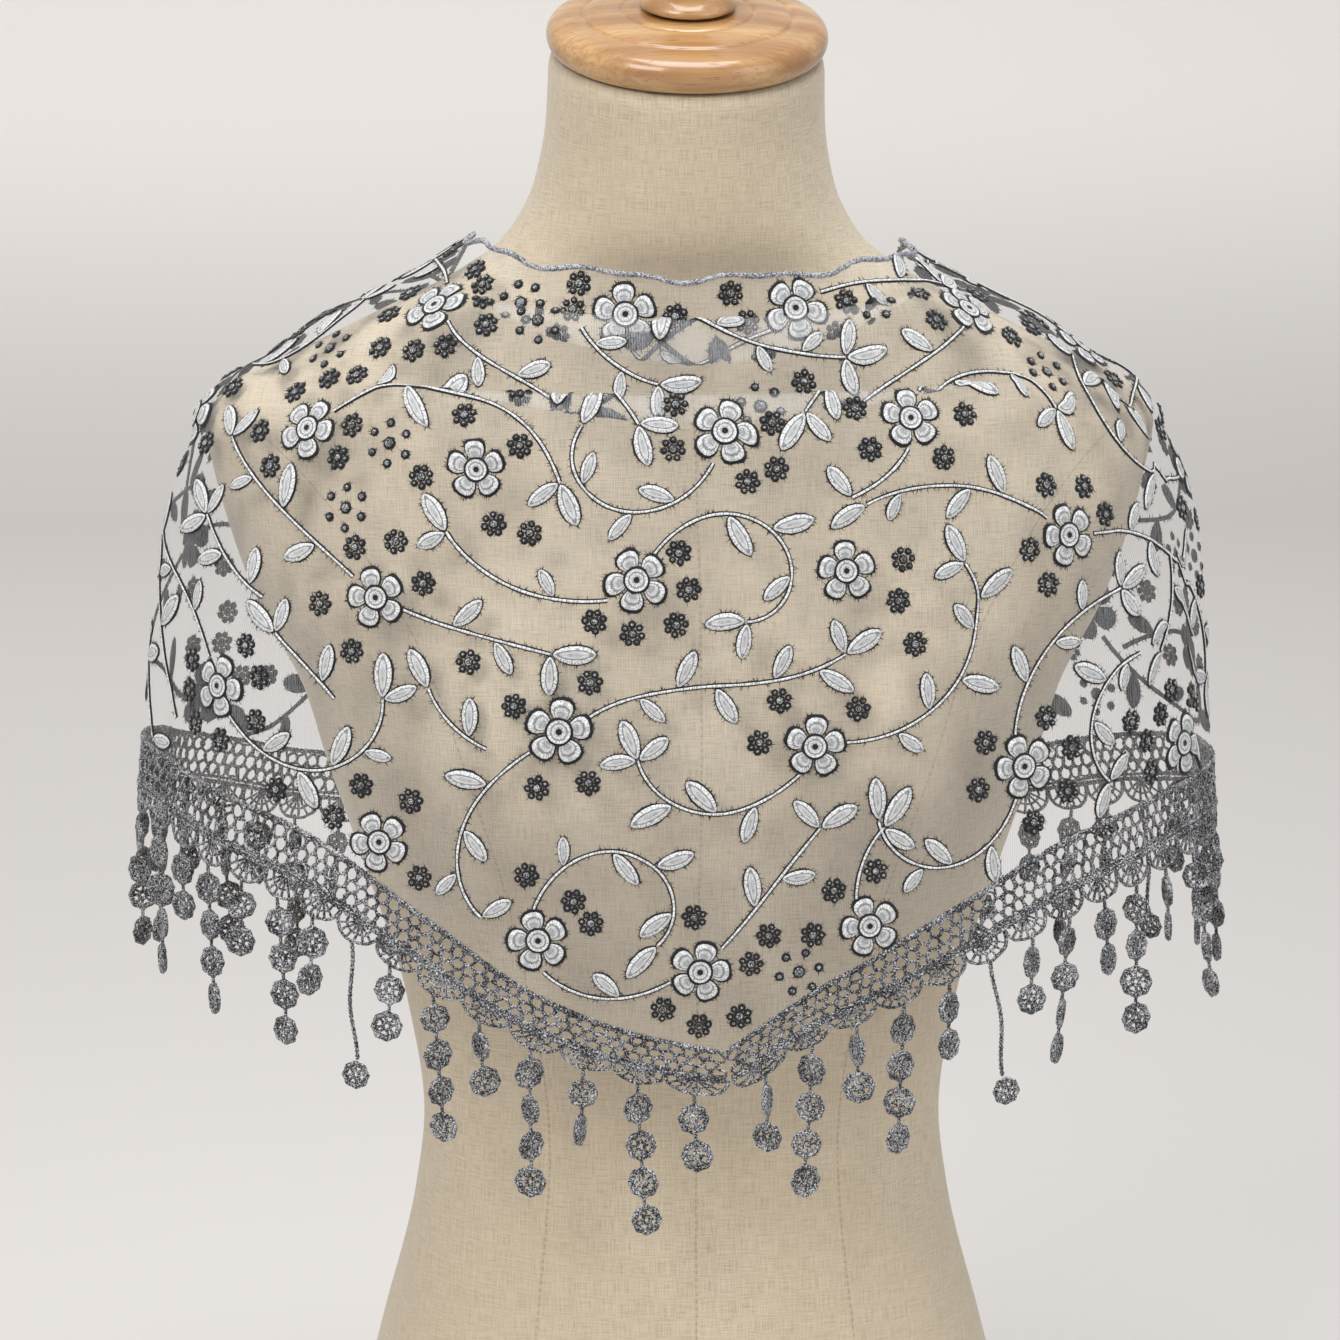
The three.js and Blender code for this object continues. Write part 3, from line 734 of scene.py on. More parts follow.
# %% Linen material
def make_linen():
    material, tree, shader = new_material("linen", roughness=0.92, specular=0.15, sheen=0.25)
    surface = coordinates(tree, "UV")
    weave = use_group(tree, weave_group, Surface=surface)
    patches = noise(tree, surface, 9.0, 2.0, 0.5)
    base = blend_colour(tree, ramp(tree, patches, 0.35, 0.65), colour(189, 176, 155), colour(197, 185, 164))
    threads = ramp(tree, weave.outputs["Threads"], 0.34, 0.60)
    thready = blend_colour(tree, threads, colour(171, 157, 134), base)
    slubs = ramp(tree, weave.outputs["Slubs"], 0.5, 0.64, 0.0, 0.45)
    slubby = blend_colour(tree, slubs, thready, colour(200, 187, 165))
    flecked = blend_colour(tree, times(tree, weave.outputs["Flecks"], 0.5), slubby, colour(128, 108, 88))
    princess = tree.nodes.new("ShaderNodeAttribute")
    princess.attribute_name = "princess_seam"
    middle, _, level = split(tree, coordinates(tree, "Object"))
    to_seams = [math_node(tree, "ABSOLUTE", value) for value in (middle, princess.outputs["Fac"])]
    nearest = math_node(tree, "MINIMUM", *to_seams)
    below_neck = ramp(tree, level, 0.555, 0.565, 1.0, 0.0)
    groove = times(tree, ramp(tree, nearest, 0.0001, 0.0008, 1.0, 0.0), below_neck)
    dashes = ramp(tree, math_node(tree, "FRACT", times(tree, level, 330.0)), 0.45, 0.55)
    stitched = times(tree, groove, scaled(tree, dashes, 0.35, 0.12))
    tree.links.new(blend_colour(tree, stitched, flecked, colour(140, 122, 98)), shader.inputs["Base Color"])
    height = math_node(tree, "SUBTRACT", weave.outputs["Threads"], times(tree, groove, 0.5))
    bump(tree, shader, height, 0.0004, 0.6)
    return material


linen = make_linen()

# %% Form mesh
NECK_SLOPE = math.tan(math.radians(18))
TILT_START_Z = 600
FORM_TOP_Z = 690
FORM_SIDES = 144
PRINCESS_ROWS = """
z   x
0   78
145 68
240 60
330 73
410 96
449 110
490 134
522 160
544 187
560 215
690 230
"""
PRINCESS = table(PRINCESS_ROWS)


def form_ring(z, inset=0.0):
    """One section of the form; inset shrinks it towards its middle."""
    turn = np.radians(np.arange(FORM_SIDES) * 360 / FORM_SIDES)
    width = float(read(FORM, "z", z, "halfWidth"))
    front = float(read(FORM, "z", z, "front"))
    angle = np.arctan2(width * np.sin(turn), front * np.cos(turn))
    radius = form_radius(angle, np.full(FORM_SIDES, float(z))) - inset
    across = -radius * np.cos(angle)
    tilt = min(max((z - TILT_START_Z) / (FORM_TOP_Z - TILT_START_Z), 0), 1)
    middle = float(read(FORM, "z", z, "middle"))
    return np.stack([radius * np.sin(angle), middle + across, z + across * NECK_SLOPE * tilt], axis=-1)


def make_form():
    heights = np.concatenate([[0, 1.5], np.arange(6, 684, 5), [684, 687.5, 689.4, 690]])
    insets = np.concatenate([[1.5, 0.2], np.zeros(len(heights) - 6), [0, 0.5, 1.8, 4.0]])
    rings = [form_ring(z, inset) for z, inset in zip(heights, insets)]
    ends = [ring.mean(axis=0, keepdims=True) for ring in (rings[0], rings[-1])]
    points = np.concatenate(rings + ends)
    sides = FORM_SIDES
    faces = grid_faces(len(heights), sides, closed=True)
    close_ends(faces, len(heights), sides)
    uv = []
    for ring, z in zip(rings, heights):
        round_it = walked_along(ring)
        in_right_half = np.arange(sides) <= sides // 2
        signed = np.where(in_right_half, round_it, round_it - round_it[-1] - round_it[1])
        uv.append(np.stack([signed, np.full(sides, z)], axis=-1))
    uv = np.concatenate(uv + [[[0, 0], [0, FORM_TOP_Z]]])
    piece = add_piece("linen_form", points, faces, [linen], uv, replaces=("dress_form",))
    seam = np.abs(points[:, 0]) - read(PRINCESS, "z", points[:, 2], "x")
    layer = piece.data.attributes.new("princess_seam", "FLOAT", "POINT")
    layer.data.foreach_set("value", (seam * MM).astype(np.float32))
    return piece


linen_form = make_form()
print("linen form:", triangles(linen_form), "triangles")

# %% [markdown]
# ## The turned cap and knob
#
# The neck is closed by a turned wooden cap with two fine grooves and a knob. A lathe makes the real ones,
# so a profile spun round the tilted axis of the neck makes these. Rounding the profile's corners first
# gives soft turned edges.

# %% Wood material
def make_wood():
    material, tree, shader = new_material("wood", 0.32, specular=0.5, coat=0.75, coat_roughness=0.12)
    where = coordinates(tree, "Object")
    warp = noise(tree, where, 14.0, 2.0, 0.5, (0.5, 1.0, 1.0))
    rings = noise(tree, where, 62.0, 3.0, 0.55, (0.10, 1.0, 1.0))
    growth = math_node(tree, "ADD", rings, scaled(tree, warp, 0.5, -0.25))
    streaks = noise(tree, where, 620.0, 2.0, 0.55, (0.04, 1.0, 1.0))
    pores = ramp(tree, noise(tree, where, 1500.0, 1.0, 0.5, (0.05, 1.0, 1.0)), 0.64, 0.74)
    light = blend_colour(tree, ramp(tree, growth, 0.32, 0.66), colour(146, 104, 60), colour(189, 152, 102))
    fibres = blend_colour(tree, ramp(tree, streaks, 0.35, 0.7, 0.0, 0.45), light, colour(142, 93, 46))
    dark = blend_colour(tree, times(tree, pores, 0.6), fibres, colour(96, 56, 30))
    tree.links.new(dark, shader.inputs["Base Color"])
    bump(tree, shader, times(tree, pores, -1.0), 0.0002, 0.5)
    return material


wood = make_wood()

# %% Cap and knob
SEAM_GAP = 0.4
TURNED_SIDES = 128
NECK_TILT = math.radians(18)
CAP_PROFILE = [
    (0, 0), (53, 0), (56.5, 2.5), (58, 7), (57, 11.5), (53.5, 14.5), (44.5, 16.2),
    (43, 15.0), (41.5, 16.8), (28.5, 18.4), (27, 17.2), (25.5, 18.8), (0, 18.8),
]
KNOB_PROFILE = [
    (0, 0), (19.5, 0), (20, 3), (17, 6), (11, 9), (8.5, 15), (9, 20),
    (13.5, 24), (17, 30), (17.5, 36), (14.5, 42.5), (8, 46.5), (0, 47.8),
]


def rounded(profile, rounds=3):
    """Corners cut again and again, so that the outline turns softly; its ends stay."""
    line = np.array(profile, float)
    for _ in range(rounds):
        near = line[:-1] * 0.75 + line[1:] * 0.25
        far = line[:-1] * 0.25 + line[1:] * 0.75
        line = np.concatenate([line[:1], np.stack([near, far], axis=1).reshape(-1, 2), line[-1:]])
    return line[(np.linalg.norm(np.diff(line, axis=0, prepend=[[-9, -9]]), axis=1) > 0.12)]


def turn_on_lathe(name, profile, lift, node):
    line = rounded(profile)
    line[0, 0] = line[-1, 0] = 0
    spun = np.radians(np.arange(TURNED_SIDES) * 360 / TURNED_SIDES)
    inner = line[1:-1]
    right, forward = np.outer(inner[:, 0], np.sin(spun)), np.outer(inner[:, 0], -np.cos(spun))
    ring = np.stack([right, forward, np.repeat(inner[:, 1:], TURNED_SIDES, 1)], axis=-1).reshape(-1, 3)
    points = np.concatenate([ring, [[0, 0, line[0, 1]], [0, 0, line[-1, 1]]]])
    faces = grid_faces(len(inner), TURNED_SIDES, closed=True)
    close_ends(faces, len(inner), TURNED_SIDES)
    c, s = math.cos(NECK_TILT), math.sin(NECK_TILT)
    y = points[:, 1] * c - (points[:, 2] + lift) * s + float(FORM["middle"][-1])
    z = points[:, 1] * s + (points[:, 2] + lift) * c + FORM_TOP_Z
    placed = np.stack([points[:, 0], y, z], axis=-1)
    return add_piece(name, placed, faces, [wood], replaces=(node,))


turned_cap = turn_on_lathe("turned_cap", CAP_PROFILE, SEAM_GAP, "neck_cap")
turned_knob = turn_on_lathe("turned_knob", KNOB_PROFILE, CAP_PROFILE[-1][1] + 2 * SEAM_GAP, "cap_knob")
print("cap and knob:", triangles(turned_cap), "and", triangles(turned_knob), "triangles")

# %% [markdown]
# ## The tulle
#
# The body is machine net so fine that single threads hardly show: mostly holes, with a pale haze where
# threads cross. A thin open shell carries it, and the material draws the net in the cloth's own
# coordinates, so that the threads follow every lap. Holes are left by the shader's alpha, which lets the
# linen and the backs of the flowers show.

# %% Net material
def make_net(name, veil, thread_cover, tint, gathered_tint=None):
    material, tree, shader = new_material(name, roughness=0.6, specular=0.3, sheen=0.3)
    surface = coordinates(tree, "UV")
    across, down, _ = split(tree, surface)
    masks = []
    for side, pitch, strength in ((across, 950.0, 1.0), (down, 1150.0, 0.55)):
        wave = math_node(tree, "FRACT", times(tree, side, pitch))
        middle = math_node(tree, "ABSOLUTE", math_node(tree, "SUBTRACT", wave, 0.5))
        masks.append(times(tree, ramp(tree, middle, 0.10, 0.24, 1.0, 0.0), strength))
    net = math_node(tree, "MAXIMUM", *masks)
    clouds = noise(tree, surface, 45.0, 3.0, 0.6, (1.0, 0.3, 1.0))
    cover = scaled(tree, net, thread_cover, veil)
    uneven = times(tree, cover, ramp(tree, clouds, 0.3, 0.7, 0.82, 1.18), clamp=True)
    tree.links.new(uneven, shader.inputs["Alpha"])
    shader.inputs["Base Color"].default_value = tint
    if gathered_tint is not None:
        # gathered cloth shows the backs and fronts of its embroidery as soft dark and pale patches
        caught = ramp(tree, noise(tree, surface, 130.0, 2.0, 0.5), 0.44, 0.56)
        tree.links.new(blend_colour(tree, caught, tint, gathered_tint), shader.inputs["Base Color"])
    return material


tulle = make_net("tulle", 0.01, 0.17, colour(232, 233, 235))
dense_tulle = make_net("gathered tulle", 0.62, 0.3, colour(158, 160, 165), colour(74, 77, 84))


# %% Tulle shells
SPLIT_ANGLE = SIDE_SPLIT + 0.18
SHELL_STEP = 2.6


def make_shell(name, surface, columns, node, rows=None):
    """An open shell over some columns of a surface."""
    lengths = np.interp(columns, np.arange(len(surface.lengths)), surface.lengths)
    rows = rows or int(lengths.max() / SHELL_STEP) + 1
    distance = np.linspace(0, 1, rows)[:, None] * lengths
    column = np.broadcast_to(columns, distance.shape)
    points = surface.point(column, distance).reshape(-1, 3)
    uv = np.stack([surface.sample(surface.across, column, distance), -distance], axis=-1).reshape(-1, 2)
    faces = [face[::-1] for face in grid_faces(rows, len(columns))]
    return add_piece(name, points, faces, [tulle], uv, replaces=(node,))


whole_front = np.arange(-SIDE_SPLIT, SIDE_SPLIT + 1, 1.0)
front_angles = np.concatenate([[-SPLIT_ANGLE], whole_front, [SPLIT_ANGLE]])
back_angles = np.concatenate([[SPLIT_ANGLE], np.arange(SIDE_SPLIT + 1, BACK_END + 1, 1.0)])
front_shell = make_shell("tulle_front", worn, column_at(front_angles), "shawl_front")
left_shell = make_shell("tulle_back_left", worn, column_at(-back_angles[::-1]), "shawl_back_left")
right_shell = make_shell("tulle_back_right", worn, column_at(back_angles), "shawl_back_right")
print("tulle:", [triangles(shell) for shell in (front_shell, left_shell, right_shell)], "triangles")

# %% [markdown]
# ## The tied ends
#
# The two ends of the triangle meet below the nape and are tied once. They hang as narrowing tails, each
# with one plain edge and one lace edge, in a few soft waves. The same kind of surface carries them: its
# columns run down the tail, side by side from one edge to the other.

# %% Tail surfaces
TAIL_TOP_Z = 397.5
TAIL_WAVES = 2.5
TAIL_RIGHT_ROWS = """
drop inner outer y wave
0   3  15 127 3
25  3  42 140 6
60  2  66 144 8
110 0  55 146 8
170 -2 34 147 6
225 -3 16 147 3
250 -3 5  147 1
"""
TAIL_LEFT_ROWS = """
drop inner outer y wave
0   -3  -15 127 3
25  -5  -45 139 6
60  -12 -72 142 8
105 -20 -68 143 8
155 -27 -54 144 6
200 -33 -42 144 2
"""
TAILS = {"left": table(TAIL_LEFT_ROWS), "right": table(TAIL_RIGHT_ROWS)}
TAIL_COLUMNS = 49
TAIL_ROWS = 110


def tail_point(rows, drop, across):
    inner, outer, y, wave = (read(rows, "drop", drop, name) for name in ("inner", "outer", "y", "wave"))
    depth = y + wave * np.sin(2 * np.pi * TAIL_WAVES * across)
    return np.stack([inner + (outer - inner) * across, depth, TAIL_TOP_Z - np.asarray(drop, float)], axis=-1)


def tail_surface(rows):
    drops = np.arange(0, rows["drop"][-1] + 1, 2.0)
    shares = np.linspace(0, 1, TAIL_COLUMNS)
    if rows["outer"][0] > 0:
        shares = shares[::-1]
    return Surface([tail_point(rows, drops, np.full(len(drops), share)) for share in shares])


tail_surfaces = {side: tail_surface(rows) for side, rows in TAILS.items()}


for side, surface in tail_surfaces.items():
    columns = np.arange(TAIL_COLUMNS, dtype=float)
    make_shell(f"tulle_tail_{side}", surface, columns, f"shawl_tail_{side}", TAIL_ROWS)

# %% [markdown]
# ## The knot
#
# A tied knot in sheer cloth is a round bundle of pleats with one band drawn across it. Rings with many
# small waves make the gathered bundle, and a second, fatter loop with waves along its length makes the
# band.

# %% Knot
KNOT = {"y": 123, "z": 422, "half_width": 17.0, "half_depth": 12.5, "half_height": 23}
BAND = {"reach": 14.0, "depth": 10.5, "half_thick": 3.6, "half_wide": 8.2}


def pleated_bundle(rings=36, sides=96, pleats=11, pole=22):
    lift = np.linspace(-1, 1, rings)
    turn = full_turn(sides)
    rows = []
    for level in lift:
        waist = 1 - 0.2 * math.exp(-(level / 0.25) ** 2)
        size = waist * (0.62 + 0.38 * math.sqrt(max(1 - abs(level) ** 3.0, 0)))
        wave = 1 + 0.05 * np.cos(pleats * turn + 2.2 * level) + 0.03 * np.cos(5 * turn - 3 * level)
        rows.append(np.stack([
            KNOT["half_width"] * size * wave * np.sin(turn),
            KNOT["y"] - KNOT["half_depth"] * size * wave * np.cos(turn),
            np.full(sides, KNOT["z"] + KNOT["half_height"] * level),
        ], axis=-1))
    points = np.concatenate(rows + [[[0, KNOT["y"], KNOT["z"] + end * pole]] for end in (-1, 1)])
    faces = grid_faces(rings, sides, closed=True)
    close_ends(faces, rings, sides)
    return points, faces


def crossing_band(steps=96, sides=22, slope=0.42):
    rows = []
    for i in range(steps):
        round_it = 2 * math.pi * i / steps
        out = np.array([math.sin(round_it), -math.cos(round_it), 0.0])
        centre = np.array([0, KNOT["y"], KNOT["z"]]) + out * [BAND["reach"], BAND["depth"], 0]
        centre[2] += BAND["reach"] * slope * math.sin(round_it)
        turn = full_turn(sides)
        fat = 1 + 0.12 * np.cos(6 * turn + 0.6 * math.sin(3 * round_it))
        thick = np.outer(BAND["half_thick"] * fat * np.cos(turn), out)
        rows.append(centre + thick + np.outer(BAND["half_wide"] * fat * np.sin(turn), [0, 0, 1]))
    return np.concatenate(rows), grid_faces(steps, sides, closed=True, looped=True, flipped=True)


def make_knot():
    bundle, bundle_faces = pleated_bundle()
    band, band_faces = crossing_band()
    points = np.concatenate([bundle, band])
    faces = bundle_faces + [[corner + len(bundle) for corner in face] for face in band_faces]
    around = np.arctan2(points[:, 0], KNOT["y"] - points[:, 1]) * KNOT["half_width"]
    uv = np.stack([around, points[:, 2]], axis=-1)
    return add_piece("tied_knot", points, faces, [dense_tulle], uv, replaces=("shawl_knot",))


tied_knot = make_knot()
print("knot:", triangles(tied_knot), "triangles")

# %% [markdown]
# ## Yarn drawn as tubes
#
# Crochet is one yarn led round in loops, so its pieces are tubes. Sweeping a small ring along a line, in
# arrays, gives real loops with holes between them at a cost of a few faces a step. A light wobble keeps
# the yarn from looking machined.

# %% Tubes from lines
ANY_SLANT = np.array([0.31, 0.83, 0.46])


def cross_directions(ahead):
    """Two directions square to a line, from its direction at each point."""
    ahead = unit(ahead)
    side = unit(np.cross(ahead, ANY_SLANT))
    return side, np.cross(ahead, side)


class YarnPile:
    """Collects tubes until they are made one piece."""

    def __init__(self):
        self.points = []
        self.faces = []
        self.count = 0

    def tube(self, line, radius, sides=4, closed=False):
        """A tube along a line of points; radius is one number or one for each point."""
        line = np.asarray(line, float)
        steps = len(line)
        if closed:
            ahead = np.roll(line, -1, axis=0) - np.roll(line, 1, axis=0)
        else:
            ahead = np.gradient(line, axis=0)
        side, other = cross_directions(ahead)
        turn = full_turn(sides)[:, None]
        radius = np.broadcast_to(np.asarray(radius, float), steps)
        ring = side[:, None, :] * np.cos(turn) + other[:, None, :] * np.sin(turn)
        points = line[:, None, :] + ring * radius[:, None, None]
        faces = np.array(grid_faces(steps, sides, closed=True, looped=closed))[:, ::-1]
        start = self.count
        self.points.append(points.reshape(-1, 3))
        self.faces += (faces + start).tolist()
        if not closed:
            self.faces.append((start + np.arange(sides)).tolist())
            self.faces.append((start + (steps - 1) * sides + np.arange(sides)[::-1]).tolist())
        self.count += steps * sides

    def cord(self, line, lay_radius, ply_radius, twist_length, plies=2, sides=4):
        """Plies twisted round a line, one full turn in each twist length."""
        line = np.asarray(line, float)
        side, other = cross_directions(np.gradient(line, axis=0))
        for ply in range(plies):
            turn = (2 * np.pi * (walked_along(line) / twist_length + ply / plies))[:, None]
            self.tube(line + lay_radius * (np.cos(turn) * side + np.sin(turn) * other), ply_radius, sides)

    def make(self, name, material, replaces=()):
        return add_piece(name, np.concatenate(self.points), self.faces, [material], replaces=replaces)


def make_yarn(name, dark, light, share, scale, gloss=(0.85, 0.2, 0.3), relief=(0.0004, 0.8)):
    """Mottled yarn; gloss is roughness, specular and sheen, relief the bump's height and strength."""
    roughness, specular, sheen = gloss
    material, tree, shader = new_material(name, roughness=roughness, specular=specular, sheen=sheen)
    where = coordinates(tree, "Object")
    yarn = use_group(tree, yarn_group, Where=where, Scale=scale, Dark=dark, Light=light, Share=share)
    tree.links.new(yarn.outputs["Colour"], shader.inputs["Base Color"])
    bump(tree, shader, yarn.outputs["Height"], *relief)
    return material


lace_yarn = make_yarn("grey lace yarn", colour(22, 22, 26), colour(202, 204, 209), 0.445, 1600.0)
hem_yarn = make_yarn("pale overlock yarn", colour(74, 77, 86), colour(186, 189, 196), 0.5, 1400.0)

# %% [markdown]
# ## A place for every stitch of the lace
#
# The border hangs from the body's lower edge. A second surface carries on from that edge down the drape,
# and the lace is laid on it by two numbers: the distance along the edge, and how far across the border.
# Directions across are smoothed along the edge, so that the scallops fan out round the point instead of
# leaving a wedge.

# %% Surface of the border
SKIRT_LENGTH = 46
STRIP_DEPTH = 3.65
SMOOTH_REACH = 14
SMOOTH_SPREAD = 4.0
STRETCH_ANGLES = {
    "back_left": (-BACK_END, -SIDE_SPLIT),
    "front_left": (-SIDE_SPLIT, APEX_ANGLE),
    "front_right": (APEX_ANGLE, SIDE_SPLIT),
    "back_right": (SIDE_SPLIT, BACK_END),
}
DROP_STEPS = np.arange(0, SKIRT_LENGTH + 1, 2.0)


def hem_height(angle):
    return float(edge_value(angle, "hem")) - SEAM_GAP


skirt = Surface([drape_point(angle, hem_height(angle) - DROP_STEPS) for angle in cloth_angles])
hem_walk = walked_along(skirt.grid[:, 0])
hem_columns = np.arange(len(cloth_angles), dtype=float)
border_depth_at = np.array([float(edge_value(angle, "border")) for angle in cloth_angles])


def edge_directions():
    """The lean of the lower edge at each column, in radians, smoothed along the edge."""
    along = skirt.along[:, 0]
    slant = np.sum(along * unit(skirt.down[:, 0]), axis=1)
    straight = np.sqrt(np.maximum(np.sum(along * along, axis=1) - slant * slant, 1e-6))
    lean = np.arctan2(slant, straight)
    kernel = np.exp(-0.5 * (np.arange(-SMOOTH_REACH, SMOOTH_REACH + 1) / SMOOTH_SPREAD) ** 2)
    padded = np.pad(lean, SMOOTH_REACH, mode="edge")
    return np.convolve(padded, kernel / kernel.sum(), mode="valid")


hem_lean = edge_directions()


def on_border(along, depth_share, out=0.0):
    """Points of the lace at distances along the whole lower edge and shares of its depth."""
    along, depth_share, out = alike(along, depth_share, out)
    column = np.interp(along, hem_walk, hem_columns)
    lean = np.interp(column, hem_columns, hem_lean)
    depth = (np.interp(column, hem_columns, border_depth_at) + STRIP_DEPTH) * np.cos(lean) * depth_share
    across = -depth * np.sin(lean)
    columns, distances = skirt.moved(column, np.zeros_like(column), across, -depth * np.cos(lean))
    return skirt.point(columns, distances, out)


def stretch_span(name):
    low, high = STRETCH_ANGLES[name]
    return tuple(np.interp([column_at(low), column_at(high)], hem_columns, hem_walk))


print("lower edge:", round(hem_walk[-1]), "mm")

# %% [markdown]
# ## The crochet border
#
# From the body outwards the lace has a twisted cord, three rows of round loops, each set half a loop from
# the last, a thin cord and a full one, and a row of scallops: two arches, one inside the other, over six
# spokes. The scallops repeat about every 20 mm, which is also the spacing of the fringe.

# %% Border pieces
STRAND_PITCH = 20.0
LOOP_PITCH = 5.3
LACE = {"cord": 0.85, "loop": 0.72, "arch": 0.85, "spoke": 0.62}
ROWS = {
    "top_cord": 0.04, "first": 0.165, "second": 0.325, "third": 0.485, "band": 0.60, "low_cord": 0.665,
    "arch_foot": 0.69, "arch_end": 0.99,
}


def wobble(count, size):
    return rng.normal(0, size, (count, 3))


def border_lines(place, start, end, pile):
    """Lace of one stretch: place turns distances along and shares of depth into points."""
    walk = np.arange(start, end, 1.1)
    for row, thick in (("top_cord", 1.0), ("band", 0.7), ("low_cord", 1.0)):
        line = place(walk, ROWS[row], 0.2) + wobble(len(walk), 0.14)
        pile.cord(line, 0.62 * thick, LACE["cord"] * thick, 4.2)
    turn = np.linspace(0, 2 * np.pi, 10, endpoint=False)
    count = max(int(round((end - start) / LOOP_PITCH)), 1)
    pitch = (end - start) / count
    for row, shift in (("first", 0.5), ("second", 1.0), ("third", 0.5)):
        for i in range(count - (shift == 1.0)):
            centre = start + (i + shift) * pitch
            grow = rng.uniform(0.86, 1.12)
            across, up = 0.50 * pitch * grow * np.cos(turn), 0.095 * grow * np.sin(turn)
            loop = place(centre + across, ROWS[row] + up, 0.1)
            pile.tube(loop + wobble(10, 0.26), LACE["loop"] * rng.uniform(0.85, 1.2), closed=True)
    repeats = max(int(round((end - start) / STRAND_PITCH)), 1)
    width = (end - start) / repeats
    foot = ROWS["arch_foot"]
    for i in range(repeats):
        middle = start + (i + 0.5) * width
        for reach, thick in ((1.0, LACE["arch"]), (0.58, LACE["spoke"])):
            sweep = np.linspace(0, np.pi, 15)
            drop = foot + (ROWS["arch_end"] - foot) * reach * np.sin(sweep) ** 0.8
            arch = place(middle - 0.49 * width * reach * np.cos(sweep), drop, 0.1)
            pile.tube(arch + wobble(15, 0.15), thick)
        for lean in np.linspace(-0.9, 0.9, 6):
            far = 0.5 * width * math.sin(lean * 1.1)
            low = foot + (ROWS["arch_end"] - foot) * math.cos(lean * 1.1) ** 0.8
            part = np.linspace(0, 1, 5)
            spoke = place(middle + far * part, foot - 0.02 + (low - foot) * part, 0.2)
            pile.tube(spoke + wobble(5, 0.12), LACE["spoke"])


border_pieces = {}
for stretch in STRETCH_ANGLES:
    pile = YarnPile()
    low, high = stretch_span(stretch)
    border_lines(on_border, low + 0.5, high - 0.5, pile)
    border_pieces[stretch] = pile.make(f"lace_border_{stretch}", lace_yarn, (f"border_{stretch}",))
print("border:", {name: triangles(piece) for name, piece in border_pieces.items()})

# %% [markdown]
# ## Placing copies with Geometry Nodes
#
# Discs, dots, thread ends and stitches repeat hundreds of times. One small tree serves them all: each
# point of a mesh holds a turn and a size, a template is put there, and the copies are made real and given
# their finish. Points and template are plain meshes, and the result is turned into a plain mesh too.

# %% The copying tree
def vector_field(tree, label):
    node = add_node(tree, "GeometryNodeInputNamedAttribute")
    node.data_type = "FLOAT_VECTOR"
    node.inputs["Name"].default_value = label
    return node.outputs["Attribute"]


def make_copy_tree():
    tree = bpy.data.node_groups.new("copies on points", "GeometryNodeTree")
    kinds = {"Points": "Geometry", "Template": "Object", "Overall size": "Float", "Finish": "Material"}
    for label, kind in kinds.items():
        tree.interface.new_socket(label, in_out="INPUT", socket_type="NodeSocket" + kind)
    tree.interface.new_socket("Copies", in_out="OUTPUT", socket_type="NodeSocketGeometry")
    given = tree.nodes.new("NodeGroupInput").outputs
    result = tree.nodes.new("NodeGroupOutput")
    template = add_node(tree, "GeometryNodeObjectInfo", Object=given["Template"])
    turn = add_node(tree, "FunctionNodeEulerToRotation", Euler=vector_field(tree, "turn"))
    size = tree.nodes.new("ShaderNodeVectorMath")
    size.operation = "SCALE"
    tree.links.new(vector_field(tree, "size"), size.inputs[0])
    tree.links.new(given["Overall size"], size.inputs["Scale"])
    place = add_node(
        tree, "GeometryNodeInstanceOnPoints", Points=given["Points"], Instance=template.outputs["Geometry"],
        Rotation=turn.outputs["Rotation"], Scale=size.outputs[0],
    )
    real = add_node(tree, "GeometryNodeRealizeInstances", Geometry=place.outputs["Instances"])
    paint = add_node(
        tree, "GeometryNodeSetMaterial", Geometry=real.outputs["Geometry"], Material=given["Finish"]
    )
    tree.links.new(paint.outputs["Geometry"], result.inputs["Copies"])
    return tree


copy_tree = make_copy_tree()


def frame_turns(rights, ups):
    """Euler turns of local frames, from their right and up directions."""
    outs = unit(np.cross(rights, ups))
    rights = unit(rights)
    ups = np.cross(outs, rights)
    pitch = np.arctan2(-rights[:, 2], np.hypot(rights[:, 0], rights[:, 1]))
    yaw = np.arctan2(rights[:, 1], rights[:, 0])
    roll = np.arctan2(ups[:, 2], outs[:, 2])
    return np.stack([roll, pitch, yaw], axis=-1)


def template_object(name, points, faces):
    return bpy.data.objects.new(name, plain_mesh(name, points, faces))


def copies(name, places, turns, sizes, template, material):
    """A plain mesh of template copies; places in millimetres, turns in radians."""
    mesh = plain_mesh(name + " points", places, [])
    for label, values in (("turn", turns), ("size", sizes)):
        layer = mesh.attributes.new(label, "FLOAT_VECTOR", "POINT")
        layer.data.foreach_set("vector", np.asarray(values, np.float32).ravel())
    holder = in_scene(name + " points", mesh)
    modifier = holder.modifiers.new("copies", "NODES")
    modifier.node_group = copy_tree
    items = copy_tree.interface.items_tree
    sockets = {item.name: item.identifier for item in items if item.in_out == "INPUT"}
    modifier[sockets["Template"]] = template
    modifier[sockets["Overall size"]] = 1.0
    modifier[sockets["Finish"]] = material
    shown = holder.evaluated_get(bpy.context.evaluated_depsgraph_get())
    made = bpy.data.meshes.new_from_object(shown)
    holder.modifiers.clear()
    bpy.data.objects.remove(holder)
    made.name = name
    return made


